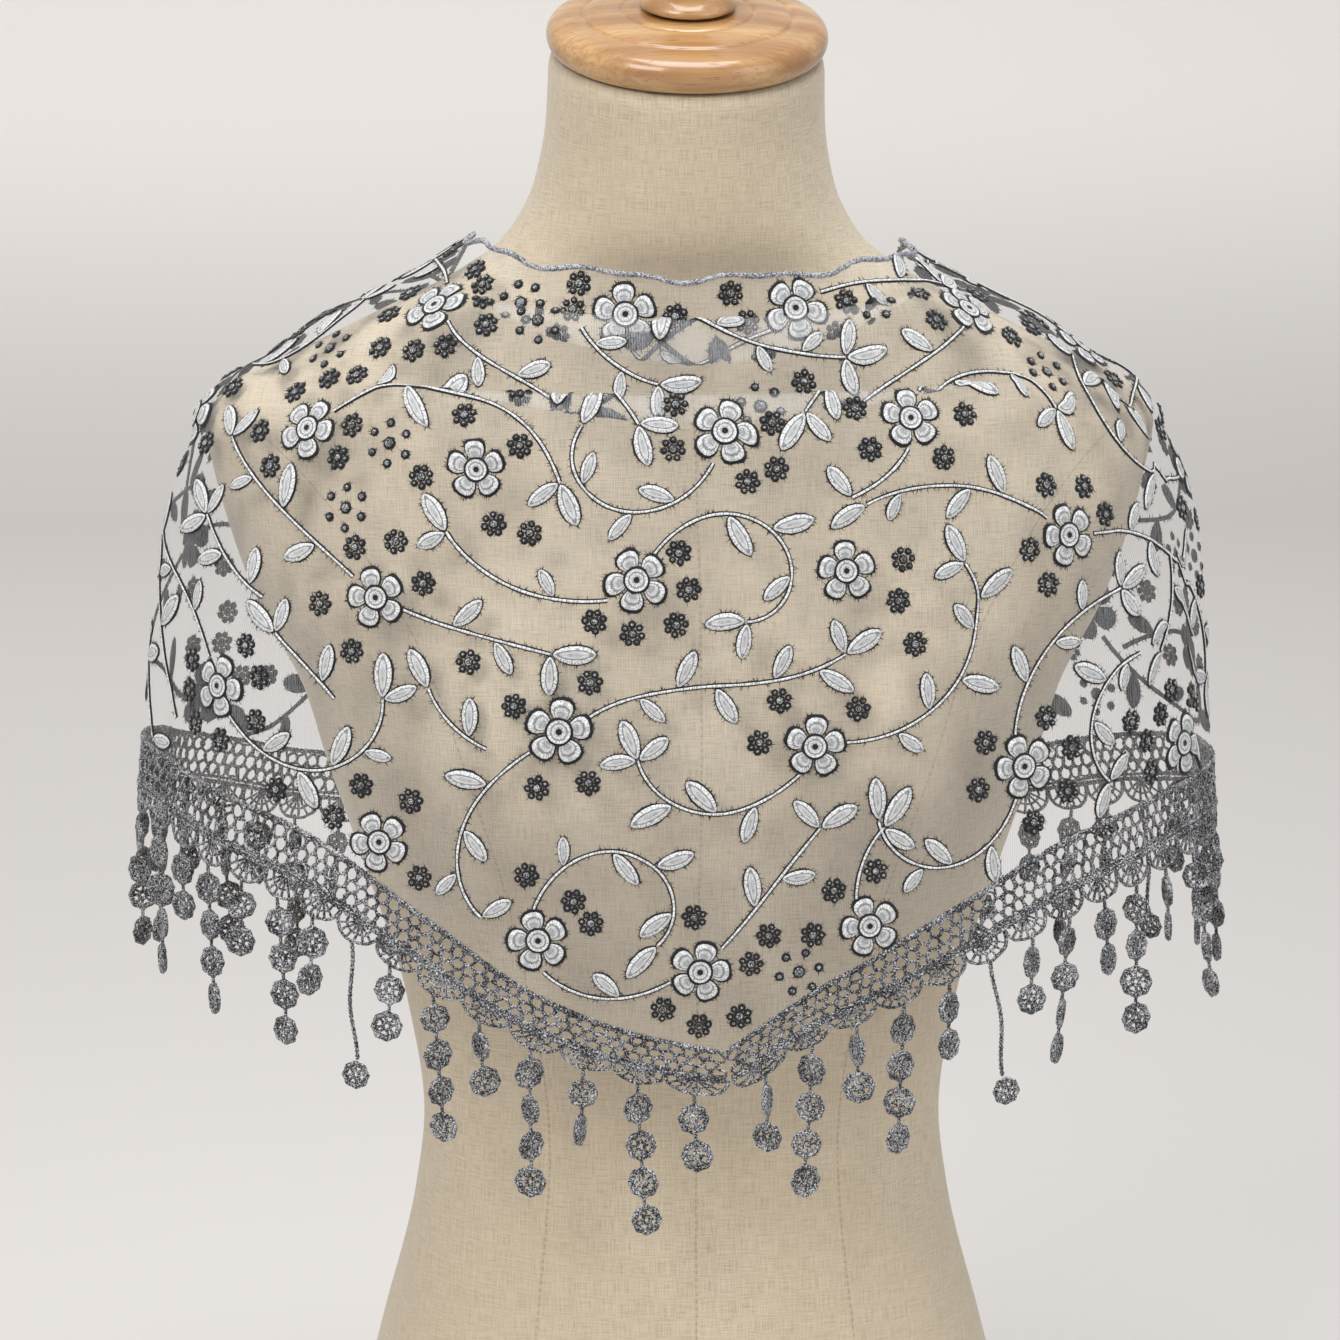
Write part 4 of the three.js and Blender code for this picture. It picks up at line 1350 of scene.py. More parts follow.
def join_meshes(name, meshes, replaces=()):
    """Several plain meshes as one piece, their finishes kept."""
    made = [in_scene(f"{name} part {i}", mesh) for i, mesh in enumerate(meshes)]
    first = made[0]
    active = {"active_object": first, "object": first}
    with bpy.context.temp_override(**active, selected_editable_objects=made, selected_objects=made):
        bpy.ops.object.join()
    first.name = name
    first.data.name = name
    return finish_piece(first, replaces)


print("copying tree:", len(copy_tree.nodes), "nodes")

# %% [markdown]
# ## The disc fringe
#
# Under each scallop hangs a strand of crocheted discs, two and four in turn. A disc is a ring with a
# lumpy outer edge, a small inner ring and eight spokes. Short chain links join the discs, a few strands
# are plain twisted cord with one disc at the end, and discs turn a little on their links, so some show
# their edge.

# %% Disc template
DISC = {"half_width": 6.5, "height": 13.0, "link": 2.2, "stem": 4.0}
DISC_YARN = 1.3
LINK_CORD = (0.45, 0.6, 3.0)
PLAIN_CORD = (0.5, 0.62, 3.6)


def disc_template():
    pile = YarnPile()
    turn = np.linspace(0, 2 * np.pi, 32, endpoint=False)
    reach = DISC["half_width"] - DISC_YARN + 0.35 * np.cos(8 * turn)
    lift = 0.25 * np.sin(16 * turn)
    ring = np.stack([reach * np.cos(turn), reach * np.sin(turn), lift], axis=-1)
    pile.tube(ring, DISC_YARN, 5, closed=True)
    small = np.linspace(0, 2 * np.pi, 10, endpoint=False)
    pile.tube(np.stack([1.6 * np.cos(small), 1.6 * np.sin(small), 0 * small], axis=-1), 1.0, closed=True)
    for i in range(8):
        angle = 2 * np.pi * i / 8
        part = np.linspace(1.9, 5.4, 4)
        sway = 0.3 * np.sin(np.pi * (part - 1.9) / 3.5) * (-1) ** i
        c, s = math.cos(angle), math.sin(angle)
        pile.tube(np.stack([part * c - sway * s, part * s + sway * c, 0.15 * sway], axis=-1), 0.8)
    return template_object("disc template", np.concatenate(pile.points), pile.faces)


disc = disc_template()
print("disc:", triangles(disc), "triangles")


# %% Fringe pieces
def hang_strand(root, side, out, discs, pile, anchors, corded):
    """One strand from its root: links go to the pile, disc places to the anchors."""
    lean = rng.normal(0, 0.055, 2)
    fall = unit(np.array([0, 0, -1.0]) + side * lean[0] + out * lean[1])
    step = DISC["height"] + DISC["link"]
    length = DISC["stem"] + discs * step - DISC["link"]
    if corded:
        bare = length - DISC["height"]
        line = root + np.outer(np.arange(0, bare + 1, 1.1), fall)
        sway = 1.1 * np.sin(np.arange(len(line)) * 0.16 + rng.uniform(0, 6))
        pile.cord(line + sway[:, None] * side, *PLAIN_CORD)
        anchors.append((root + fall * (length - DISC["height"] / 2), side, -fall, 0.9))
        return
    line = root + np.outer(np.linspace(-1.5, DISC["stem"] + 1.2, 7), fall)
    pile.cord(line, *LINK_CORD)
    for i in range(discs):
        top = DISC["stem"] + i * step
        twist = rng.normal(0, 0.42) if rng.random() > 0.16 else rng.uniform(0.8, 1.35) * rng.choice([-1, 1])
        right = side * math.cos(twist) + out * math.sin(twist)
        sway = side * rng.normal(0, 0.35)
        centre = root + fall * (top + DISC["height"] / 2) + sway
        anchors.append((centre, right, -fall, rng.uniform(0.93, 1.04)))
        if i < discs - 1:
            down = np.linspace(top + DISC["height"] - 1.2, top + step + 1.2, 5)
            pile.cord(root + sway * 0.5 + np.outer(down, fall), *LINK_CORD)


CORDED_EVERY = 11


def make_fringe(name, roots, node):
    pile = YarnPile()
    anchors = []
    for i, (root, side, out) in enumerate(roots):
        hang_strand(root, side, out, 2 if i % 2 == 0 else 4, pile, anchors, i % CORDED_EVERY == 5)
    places, rights, ups, sizes = (np.array(values) for values in zip(*anchors))
    even_sizes = np.repeat(sizes[:, None], 3, axis=1)
    discs = copies(name + " discs", places, frame_turns(rights, ups), even_sizes, disc, lace_yarn)
    links = plain_mesh(name + " links", np.concatenate(pile.points), pile.faces, [lace_yarn])
    return join_meshes(name, [discs, links], (node,))


def hem_roots(stretch):
    low, high = stretch_span(stretch)
    count = int(round((high - low) / STRAND_PITCH))
    pitch = (high - low) / count
    roots = []
    for i in range(count):
        along = low + (i + 0.5) * pitch
        before, here, after = on_border(np.array([along - 3, along, along + 3]), np.full(3, ROWS["arch_end"]))
        side = unit((after - before) * [1, 1, 0])
        roots.append((here, side, np.array([side[1], -side[0], 0.0])))
    return roots


fringe_pieces = {}
for stretch in STRETCH_ANGLES:
    fringe_pieces[stretch] = make_fringe(f"disc_fringe_{stretch}", hem_roots(stretch), f"fringe_{stretch}")
print("fringe:", {name: triangles(piece) for name, piece in fringe_pieces.items()})

# %% [markdown]
# ## Lace and fringe of the tails
#
# The same lace runs down the outer edge of each tail. There it stands out sideways from the cloth, so
# distances along and across are taken in the tail's own plane, and the strands hang from its outer side
# further apart.

# %% Tail lace
TAIL_LACE = {"setback": 14, "depth": 24, "hold": 0.8, "strand_pitch": 32}


def beside_tail(rows, drop, distance):
    """Points beside a tail's lace edge, moved out from it by distances."""
    drop = np.asarray(drop, float)
    last = rows["drop"][-1]
    edge = tail_point(rows, drop, 1.0)
    ahead = tail_point(rows, np.minimum(drop + 2, last), 1.0) - tail_point(rows, np.maximum(drop - 2, 0), 1.0)
    ahead = unit(ahead * [1, 0, 1])
    sign = np.sign(rows["outer"][0])
    out = np.stack([-ahead[..., 2] * sign, np.zeros_like(drop), ahead[..., 0] * sign], axis=-1)
    return edge + out * np.asarray(distance, float)[..., None]


def tail_lace_span(rows):
    start = rows["drop"][np.argmax(np.abs(rows["outer"]))] + TAIL_LACE["setback"]
    return start, rows["drop"][-1]


def make_tail_lace(side):
    rows = TAILS[side]
    start, end = tail_lace_span(rows)

    def place(along, share, out=0.0):
        along, share = alike(along, share)
        points = beside_tail(rows, along, TAIL_LACE["hold"] + TAIL_LACE["depth"] * share)
        return points + np.array([0.0, 1.0, 0.0]) * out

    pile = YarnPile()
    border_lines(place, start, end, pile)
    border = pile.make(f"lace_border_tail_{side}", lace_yarn, (f"border_tail_{side}",))
    count = int(round((end - start) / TAIL_LACE["strand_pitch"]))
    sign = np.sign(rows["outer"][0])
    roots = []
    for i in range(count):
        along = start + (i + 0.5) * (end - start) / count
        root = place(along, 1.0)
        roots.append((root, np.array([0.0, sign, 0.0]), np.array([sign, 0.0, 0.0])))
    fringe = make_fringe(f"disc_fringe_tail_{side}", roots, f"fringe_tail_{side}")
    return border, fringe


tail_lace = {side: make_tail_lace(side) for side in TAILS}
print("tail lace:", {side: [triangles(piece) for piece in pieces] for side, pieces in tail_lace.items()})

# %% [markdown]
# ## The rolled hem
#
# The long edge is overlocked: a narrow roll of thread, slightly fuzzy, in a paler grey than the lace. It
# follows the neck edge of the cloth and the plain edge of each tail.

# %% Neck hem
HEM_RADIUS = 1.45
NECK_HEM_DROP = 0.8


def rolled_hem(name, line):
    steps = walked_along(line)
    spots = np.arange(0, steps[-1], 1.0)
    path = np.stack([np.interp(spots, steps, line[:, k]) for k in range(3)], axis=-1)
    pile = YarnPile()
    pile.tube(path, HEM_RADIUS * 0.72 + 0.18 * np.sin(spots * 1.9) + 0.22 * np.sin(spots * 0.23), 6)
    pile.cord(path, HEM_RADIUS * 0.72, 0.42, 2.6, plies=3, sides=3)
    return pile.make(name, hem_yarn)


neck_columns = np.arange(len(cloth_angles), dtype=float)
neck_line = worn.point(neck_columns, np.full(len(neck_columns), NECK_HEM_DROP))
neck_hem = rolled_hem("rolled_neck_hem", neck_line)
for side, surface in tail_surfaces.items():
    plain = 0 if side == "left" else TAIL_COLUMNS - 1
    rolled_hem(f"rolled_hem_tail_{side}", surface.grid[plain, :int(surface.lengths[plain])])
print("neck hem:", triangles(neck_hem), "triangles")

# %% [markdown]
# ## Threads of the embroidery
#
# Three finishes make the motifs: white satin stitch laid towards the outline, black outline thread, and
# the reverse, where the bobbin thread shows grey and hatched. On a motif the UV map holds the share of
# the way from the middle to the outline, and the turn round it, so stitches and the drawn inner line
# follow every petal and leaf.

# %% Embroidery materials
def make_satin():
    material, tree, shader = new_material("white satin stitch", roughness=0.55, specular=0.35, sheen=0.4)
    surface = coordinates(tree, "UV")
    share, _, _ = split(tree, surface)
    stitches = noise(tree, surface, 1.0, 2.0, 0.6, (5.0, 64.0, 1.0))
    white = blend_colour(tree, ramp(tree, stitches, 0.34, 0.62), colour(132, 135, 138), colour(226, 227, 227))
    drift = noise(tree, surface, 1.0, 2.0, 0.6, (2.0, 14.0, 1.0))
    off_line = math_node(tree, "SUBTRACT", share, scaled(tree, drift, 0.26, 0.42))
    drawn = ramp(tree, math_node(tree, "ABSOLUTE", off_line), 0.025, 0.085, 1.0, 0.0)
    line = times(tree, drawn, ramp(tree, stitches, 0.36, 0.5, 0.35, 1.0))
    near_middle = ramp(tree, scaled(tree, drift, 0.2, share), 0.3, 0.46, 1.0, 0.0)
    vein = times(tree, near_middle, ramp(tree, stitches, 0.4, 0.6, 1.0, 0.2))
    marks = math_node(tree, "MAXIMUM", times(tree, line, 0.8), times(tree, vein, 0.75))
    tree.links.new(blend_colour(tree, marks, white, colour(74, 77, 84)), shader.inputs["Base Color"])
    bump(tree, shader, stitches, 0.0005, 0.8)
    return material


def make_reverse():
    material, tree, shader = new_material("reverse of the stitches", roughness=0.8, specular=0.2)
    where = coordinates(tree, "Object")
    hatch = noise(tree, where, 1500.0, 1.0, 0.5, (1.0, 1.0, 0.06))
    tone = blend_colour(tree, ramp(tree, hatch, 0.40, 0.58), colour(26, 28, 34), colour(88, 92, 101))
    tree.links.new(tone, shader.inputs["Base Color"])
    return material


satin = make_satin()
outline_thread = make_yarn(
    "black outline thread", colour(12, 12, 16), colour(76, 78, 84), 0.28, 1900.0,
    gloss=(0.75, 0.3, 0.2), relief=(0.0003, 0.7),
)
reverse_thread = make_reverse()
knot_thread = make_yarn("mottled knots", colour(22, 22, 27), colour(200, 203, 208), 0.45, 2300.0)
SATIN, OUTLINE, REVERSE = 0, 1, 2
print("embroidery finishes:", satin.name, outline_thread.name, reverse_thread.name)

# %% [markdown]
# ## Motifs as thin padded bodies
#
# Satin stitch over padding stands about a millimetre proud, highest in the middle. So a petal or a leaf
# is a set of rings that shrink and rise, closed underneath. The outermost rings are the black outline.
# Each motif is drawn flat, with y up the cloth, and is carried on to the cloth point by point.

# %% Motif bodies
UNIT = 1000.0
NO_CORNER = -1
PADDING = [(1.0, 0.15), (0.95, 0.5), (0.87, 0.55), (0.83, 0.85), (0.42, 1.08)]
BAND_FINISH = [OUTLINE, OUTLINE, OUTLINE, SATIN]


class Motif:
    """A flat outline padded into a closed body."""

    def __init__(
        self, outline, centre, padding=PADDING, bands=BAND_FINISH, peak=1.0, heart=SATIN, line_shift=0.0
    ):
        outline = np.asarray(outline, float)
        sides = len(outline)
        spine = np.broadcast_to(np.asarray(centre, float), (sides, 2))
        rings = [spine + (outline - spine) * share for share, _ in padding]
        middle = [spine.mean(axis=0)]
        self.flat = np.concatenate(rings + [middle, middle])
        self.height = np.concatenate([np.full(sides, height) for _, height in padding] + [[peak, 0.02]])
        turn = np.arange(sides) / sides
        shares = [np.stack([np.full(sides, share + line_shift), turn], axis=-1) for share, _ in padding]
        self.uv = np.concatenate(shares + [[[line_shift, 0.5]], [[line_shift, 0.5]]]) * UNIT
        self.sides = sides
        faces = grid_faces(len(padding), sides, closed=True)
        last = (len(padding) - 1) * sides
        top, low = len(self.flat) - 2, len(self.flat) - 1
        for j in range(sides):
            after = (j + 1) % sides
            faces += [[last + j, last + after, top, NO_CORNER], [after, j, low, NO_CORNER]]
        self.faces = np.array(faces)
        self.finish = np.concatenate([np.repeat(bands, sides), np.tile([heart, REVERSE], sides)])
        self.outline = outline
        ahead = np.roll(outline, -1, axis=0) - np.roll(outline, 1, axis=0)
        self.outward = unit(np.stack([ahead[:, 1], -ahead[:, 0]], axis=-1))


def leaf_outline(length, width, sides=14):
    turn = full_turn(sides)
    x = length / 2 * (1 + np.cos(turn))
    y = width / 2 * np.sin(turn) * np.abs(np.sin(turn)) ** 0.30 * (1 + 0.10 * np.cos(turn + 0.6))
    return np.stack([x, y], axis=-1)


def petal_outline(lean, sides=14, middle=8.5, along=5.3, across=5.1):
    turn = full_turn(sides)
    x = middle + along * np.cos(turn) * (1 - 0.04 * np.cos(3 * turn))
    y = across * np.sin(turn) * (1 + 0.22 * np.cos(turn))
    c, s = math.cos(lean), math.sin(lean)
    return np.stack([x * c - y * s, x * s + y * c], axis=-1)


def circle_outline(radius, sides=18):
    turn = full_turn(sides)
    return radius * np.stack([np.cos(turn), np.sin(turn)], axis=-1)


PETALS = []
for k in range(5):
    lean = 2 * math.pi * k / 5
    PETALS.append(Motif(petal_outline(lean), 5.4 * np.array([math.cos(lean), math.sin(lean)])))
HEART = Motif(
    circle_outline(5.7), (0, 0),
    padding=[(1.0, 0.7), (0.96, 1.25), (0.80, 1.3), (0.76, 1.15), (0.56, 1.4), (0.22, 1.45), (0.18, 1.3)],
    bands=[OUTLINE, OUTLINE, SATIN, SATIN, SATIN, OUTLINE], peak=1.25, heart=OUTLINE,
)


def make_leaf(size):
    """A leaf that is padded along its midrib."""
    outline = leaf_outline(size, size * 0.48)
    midrib = np.stack([size * 0.5 + (outline[:, 0] - size * 0.5) * 0.72, np.zeros(len(outline))], axis=-1)
    return Motif(outline, midrib, line_shift=0.15)


LEAF_SIZES = (13.0, 15.5, 18.0)
LEAVES = {size: make_leaf(size) for size in LEAF_SIZES}


# %% The pile of finished stitches
TICK_ROOT = 0.3
TICK_TIP = 0.42


class Stitches:
    """Embroidery that belongs to one piece of cloth."""

    def __init__(self):
        self.points, self.uv, self.faces, self.finish = [], [], [], []
        self.count = 0
        self.ticks = []
        self.dots = []

    def add(self, points, uv, faces, finish):
        self.points.append(points)
        self.uv.append(uv)
        self.faces.append(np.where(faces < 0, NO_CORNER, faces + self.count))
        self.finish.append(finish)
        self.count += len(points)

    def motif(self, surface, column, distance, turn, motif, size=1.0, tick_gap=1.0):
        flat = motif.flat * size
        uneven = rng.normal(0, 0.13, (motif.sides, 1)) * motif.outward
        flat[:motif.sides] += uneven
        flat[motif.sides:2 * motif.sides] += uneven
        points = surface.carry(column, distance, turn, flat, motif.height)
        self.add(points, motif.uv, motif.faces, motif.finish)
        if tick_gap:
            self.fray(surface, column, distance, turn, motif.outline * size, motif.outward, tick_gap)

    def fray(self, surface, column, distance, turn, outline, outward, gap):
        """Loose thread ends that stand out from an outline."""
        around = np.linalg.norm(np.diff(outline, axis=0, append=outline[:1]), axis=1)
        total = around.sum()
        spots = rng.uniform(0, len(outline), int(total / gap))
        low = spots.astype(int) % len(outline)
        part = (spots - spots.astype(int))[:, None]
        after = (low + 1) % len(outline)
        flat = outline[low] * (1 - part) + outline[after] * part
        out = outward[low] * (1 - part) + outward[after] * part
        swing = rng.normal(0, 0.55, len(out))
        c, s = np.cos(swing), np.sin(swing)
        out = np.stack([out[:, 0] * c - out[:, 1] * s, out[:, 0] * s + out[:, 1] * c], axis=-1)
        root = surface.carry(column, distance, turn, flat - out * 0.3, np.full(len(flat), TICK_ROOT))
        tip = surface.carry(column, distance, turn, flat + out * 0.7, np.full(len(flat), TICK_TIP))
        self.ticks.append(np.concatenate([root, tip], axis=1))

    def mesh(self, name):
        faces = [face[:3] if face[3] < 0 else face for face in np.concatenate(self.faces).tolist()]
        return plain_mesh(
            name, np.concatenate(self.points), faces, (satin, outline_thread, reverse_thread),
            np.concatenate(self.uv), np.concatenate(self.finish),
        )


# %% [markdown]
# ## Where the motifs go
#
# A sprig design fills the cloth evenly without order: flowers first, as far apart as they are in the
# picture, then curling stems that leave each flower, leaves along the stems and three at each tip,
# rosettes round the flowers and rings of dots in what room is left. A record of what is taken keeps
# motifs off each other. It counts how far down the cloth a spot is as well as where it is, so that layers
# of a lap are told apart.

# %% Free room on the cloth
class Room:
    """Spots of a surface that motifs have taken."""

    def __init__(self, surface):
        self.surface = surface
        self.spots = np.zeros((0, 4))
        self.radii = np.zeros(0)

    def spot(self, column, distance):
        point = self.surface.point(column, distance)
        start = self.surface.sample(self.surface.grid, column, np.zeros(np.shape(column)))
        layer = np.asarray(distance, float) + point[..., 2] - start[..., 2]
        return np.concatenate([point, 0.8 * layer[..., None]], axis=-1)

    def free(self, column, distance):
        """Distance from one spot to the nearest taken one."""
        return self.clearance(np.array([column]), np.array([distance]))[0]

    def clearance(self, column, distance):
        """Distance from each spot to the nearest taken one."""
        spots = self.spot(column, distance)
        if not len(self.radii):
            return np.full(np.shape(column), 1e3)
        shape = spots.shape[:-1]
        flat = spots.reshape(-1, 4)
        apart = np.sqrt(((flat[:, None, :] - self.spots[None, :, :]) ** 2).sum(axis=2)) - self.radii
        return apart.min(axis=1).reshape(shape)

    def take(self, column, distance, radius):
        spots = self.spot(np.atleast_1d(column), np.atleast_1d(distance))
        self.spots = np.concatenate([self.spots, spots])
        self.radii = np.concatenate([self.radii, np.broadcast_to(radius, len(spots))])


def inside(surface, column, distance, margin):
    """True where a spot is on the cloth, a margin away from its edges."""
    columns = np.arange(len(surface.lengths))
    length = np.interp(column, columns, surface.lengths)
    return (column > 2) & (column < len(columns) - 3) & (distance > margin) & (distance < length - margin)


def random_spots(surface, count, margin):
    """Spots spread evenly over a surface."""
    widths = np.linalg.norm(surface.along[:, 0], axis=1)
    share = np.cumsum(surface.lengths * widths)
    columns = np.interp(rng.random(count) * share[-1], share, np.arange(len(share)))
    lengths = np.interp(columns, np.arange(len(surface.lengths)), surface.lengths)
    distances = margin + rng.random(count) * np.maximum(lengths - 2 * margin, 0)
    good = inside(surface, columns, distances, margin * 0.99)
    return columns[good], distances[good]


# %% Stems
STEM_STEP = 2.6
STEM_SECTION = np.array([
    (-1.05, 0.1), (-0.92, 0.5), (-0.56, 0.55), (-0.46, 0.8), (0.0, 0.98),
    (0.46, 0.8), (0.56, 0.55), (0.92, 0.5), (1.05, 0.1),
])
STEM_FINISH = [OUTLINE, OUTLINE, OUTLINE, SATIN, SATIN, OUTLINE, OUTLINE, OUTLINE, REVERSE]
STITCH_RUN = 40
TICK_GAP = 1.3
PATHS_TRIED = 26
PATHS_WEIGHED = 6
PROBE_STEP = 3
ROOM_COUNTED = 14
OFF_CLOTH = -20
CROWDED = 3.6
SHORTEST_STEM = 30


def walk(surface, column, distance, heading, bend, bend_change, steps):
    """Paths on the surface, one for each entry: columns, distances and headings, step after step."""
    columns, distances, headings = [column], [distance], [heading]
    for i in range(steps):
        heading = heading + (bend + bend_change * i) * STEM_STEP
        x, y = STEM_STEP * np.cos(heading), STEM_STEP * np.sin(heading)
        column, distance = surface.moved(column, distance, x, y)
        columns.append(column)
        distances.append(distance)
        headings.append(heading)
    return np.stack(columns), np.stack(distances), np.stack(headings)


def best_path(room, column, distance, headings, lengths, skip=3):
    """The path with the most room round it, from random bends; None where all are crowded."""
    tries = PATHS_TRIED
    start = np.full(tries, float(column)), np.full(tries, float(distance))
    heading = headings[0] + rng.uniform(-headings[1], headings[1], tries)
    steps = int(rng.uniform(*lengths) / STEM_STEP)
    bend = rng.choice([-1, 1], tries) * rng.uniform(0.004, 0.022, tries)
    change = rng.uniform(-0.0011, 0.0011, tries)
    columns, distances, turns = walk(room.surface, *start, heading, bend, change, steps)
    probe = slice(skip, None, PROBE_STEP)
    clear = room.clearance(columns[probe], distances[probe])
    on_cloth = inside(room.surface, columns[probe], distances[probe], 1.0)
    clear = np.where(on_cloth, np.minimum(clear, ROOM_COUNTED), OFF_CLOTH)
    score = clear.mean(axis=0) + 2 * np.minimum(clear.min(axis=0), 4)
    for best in np.argsort(-score)[:PATHS_WEIGHED]:
        crowded = clear[:, best] < CROWDED
        reach = (np.argmax(crowded) if crowded.any() else len(crowded)) * PROBE_STEP + skip
        if reach * STEM_STEP > SHORTEST_STEM:
            keep = slice(0, min(reach, steps) + 1)
            return columns[keep, best], distances[keep, best], turns[keep, best]
    return None


def sew_stem(stitches, surface, columns, distances, headings):
    steps = len(columns)
    wide = STEM_SECTION[:, 0][None, :] * (1 + 0.08 * rng.normal(0, 1, steps)[:, None])
    across_x = -np.sin(headings)[:, None] * wide
    across_y = np.cos(headings)[:, None] * wide
    column_grid = np.broadcast_to(columns[:, None], wide.shape)
    distance_grid = np.broadcast_to(distances[:, None], wide.shape)
    moved = surface.moved(column_grid, distance_grid, across_x, across_y)
    height = np.broadcast_to(STEM_SECTION[:, 1][None, :], wide.shape)
    points = surface.point(*moved, height).reshape(-1, 3)
    sides = len(STEM_SECTION)
    faces = np.array(grid_faces(steps, sides, closed=True, flipped=True))
    finish = np.broadcast_to(STEM_FINISH, (steps - 1, sides)).reshape(-1)
    share = np.broadcast_to(np.linspace(0.7, 0.98, sides), wide.shape)
    run = np.broadcast_to(np.arange(steps)[:, None] * STEM_STEP / STITCH_RUN, wide.shape)
    uv = np.stack([share, run], axis=-1).reshape(-1, 2) * UNIT
    stitches.add(points, uv, faces, finish)
    count = int((steps - 1) * STEM_STEP / TICK_GAP)
    at = rng.uniform(0, steps - 1, count)
    side = rng.choice([-1.0, 1.0], count)
    lines = (columns, distances, headings)
    column, distance, heading = (np.interp(at, np.arange(steps), line) for line in lines)
    swing = heading + side * (np.pi / 2) + rng.normal(0, 0.5, count)
    x, y = -np.sin(heading) * side, np.cos(heading) * side
    root = surface.point(*surface.moved(column, distance, x, y), np.full(count, TICK_ROOT))
    far = surface.moved(column, distance, x + np.cos(swing), y + np.sin(swing))
    stitches.ticks.append(np.concatenate([root, surface.point(*far, np.full(count, TICK_TIP))], axis=1))


# %% Leaves, flowers, rosettes and rings of dots
TIP_LEAVES = ((0.0, 18.0), (1.25, 15.5), (-1.25, 15.5))
LEAF_TAIL_ROOM = 12
ROSETTE = {"middle": (1.2, 1.9), "around": (0.92, 0.82), "reach": 3.7, "count": 7, "room": 5.4}
DOT_RING = {"middle": (1.62, 2.5), "around": (1.12, 1.3), "reach": 8.2, "count": 6, "room": 10.4}


def ahead_of(surface, column, distance, turn, reach):
    """The spot reached from another one at a turn and a reach."""
    return surface.moved(column, distance, reach * math.cos(turn), reach * math.sin(turn))


def leaf_spots(room, column, distance, heading, size, gap):
    reach = gap + size * np.array([0.35, 0.8])
    return ahead_of(room.surface, np.full(2, column), np.full(2, distance), heading, reach)


def leaf_fits(room, column, distance, heading, size, gap):
    spots = leaf_spots(room, column, distance, heading, size, gap)
    return room.clearance(*spots).min() > size * 0.2 and bool(inside(room.surface, *spots, 1.5).all())


def sew_leaf(stitches, room, column, distance, heading, size, gap):
    """A leaf whose base is at a spot; left out where its place is taken."""
    if not leaf_fits(room, column, distance, heading, size, gap):
        return
    base = ahead_of(room.surface, column, distance, heading, gap)
    stitches.motif(room.surface, base[0], base[1], heading, LEAVES[size], rng.uniform(0.92, 1.06))
    room.take(*leaf_spots(room, column, distance, heading, size, gap), size * 0.24)


def sew_branch(stitches, room, path, first=14.0, needed=1):
    """A stem with leaves on alternate sides and three at its tip; False where too few leaves have room."""
    columns, distances, headings = path
    side = rng.choice([-1, 1])
    at = first
    leaves = []
    for lean, size in TIP_LEAVES:
        leaves.append((columns[-1], distances[-1], headings[-1] + lean + rng.normal(0, 0.12), size, 0.6))
    while at < (len(columns) - 1) * STEM_STEP - LEAF_TAIL_ROOM:
        i = int(at / STEM_STEP)
        size = LEAF_SIZES[rng.integers(0, 3)]
        leaves.append((columns[i], distances[i], headings[i] + side * rng.uniform(0.8, 1.15), size, 1.0))
        side = -side
        at += rng.uniform(13, 24)
    fits = [leaf_fits(room, *leaf) for leaf in leaves]
    if sum(fits) < needed or (needed > 1 and sum(fits[:3]) < 2):
        return False
    sew_stem(stitches, room.surface, columns, distances, headings)
    for leaf in leaves:
        sew_leaf(stitches, room, *leaf)
    room.take(columns[::2], distances[::2], 1.4)
    return True


def sew_flower(stitches, room, column, distance, size):
    turn = rng.uniform(0, 2 * math.pi)
    for petal in PETALS:
        stitches.motif(room.surface, column, distance, turn, petal, size)
    stitches.motif(room.surface, column, distance, turn, HEART, size, tick_gap=0)


def sew_dots(stitches, room, column, distance, kind):
    """A knot with smaller ones round it; middle and around give the sizes of pad and knot."""
    spin = rng.uniform(0, 1)
    spots = [(column, distance, kind["middle"])]
    for k in range(kind["count"]):
        turn = spin + 2 * math.pi * k / kind["count"]
        spots.append((*ahead_of(room.surface, column, distance, turn, kind["reach"]), kind["around"]))
    for column_there, distance_there, sizes in spots:
        stitches.dots.append((room.surface, column_there, distance_there, sizes))
        edge = circle_outline(1.8 * sizes[0], 8)
        stitches.fray(room.surface, column_there, distance_there, 0.0, edge, circle_outline(1.0, 8), 2.0)
    room.take(column, distance, kind["room"])


# %% Fill a surface with the sprig design
FLOWER_ROOM = 14.0
STEM_EXIT = 13.4
ROUND_A_FLOWER = 8


def place_flowers(room, gap, tries, first):
    """Flowers with a gap between them, after the ones given first."""
    flowers = [(column, distance, 1.0) for column, distance in first]
    for column, distance in first:
        room.take(column, distance, FLOWER_ROOM)
    for column, distance in zip(*random_spots(room.surface, tries, 12.0)):
        if len(flowers) == 0 or room.free(column, distance) > gap - FLOWER_ROOM:
            flowers.append((column, distance, rng.uniform(0.92, 1.05)))
            room.take(column, distance, FLOWER_ROOM)
    return flowers


def sew_flower_stems(room, owner, flowers):
    """Two stems that leave each flower on opposite sides; returns the sewn paths."""
    sewn = []
    for column, distance, size in flowers:
        exit_turn = rng.uniform(0, 2 * math.pi)
        for offset in (0.0, math.pi):
            heading = exit_turn + offset + rng.normal(0, 0.3)
            start = ahead_of(room.surface, column, distance, heading, STEM_EXIT * size)
            path = best_path(room, *start, (heading, 0.5), (62, 118))
            if path is not None and sew_branch(owner(column), room, path, first=22.0):
                sewn.append(path)
    return sewn


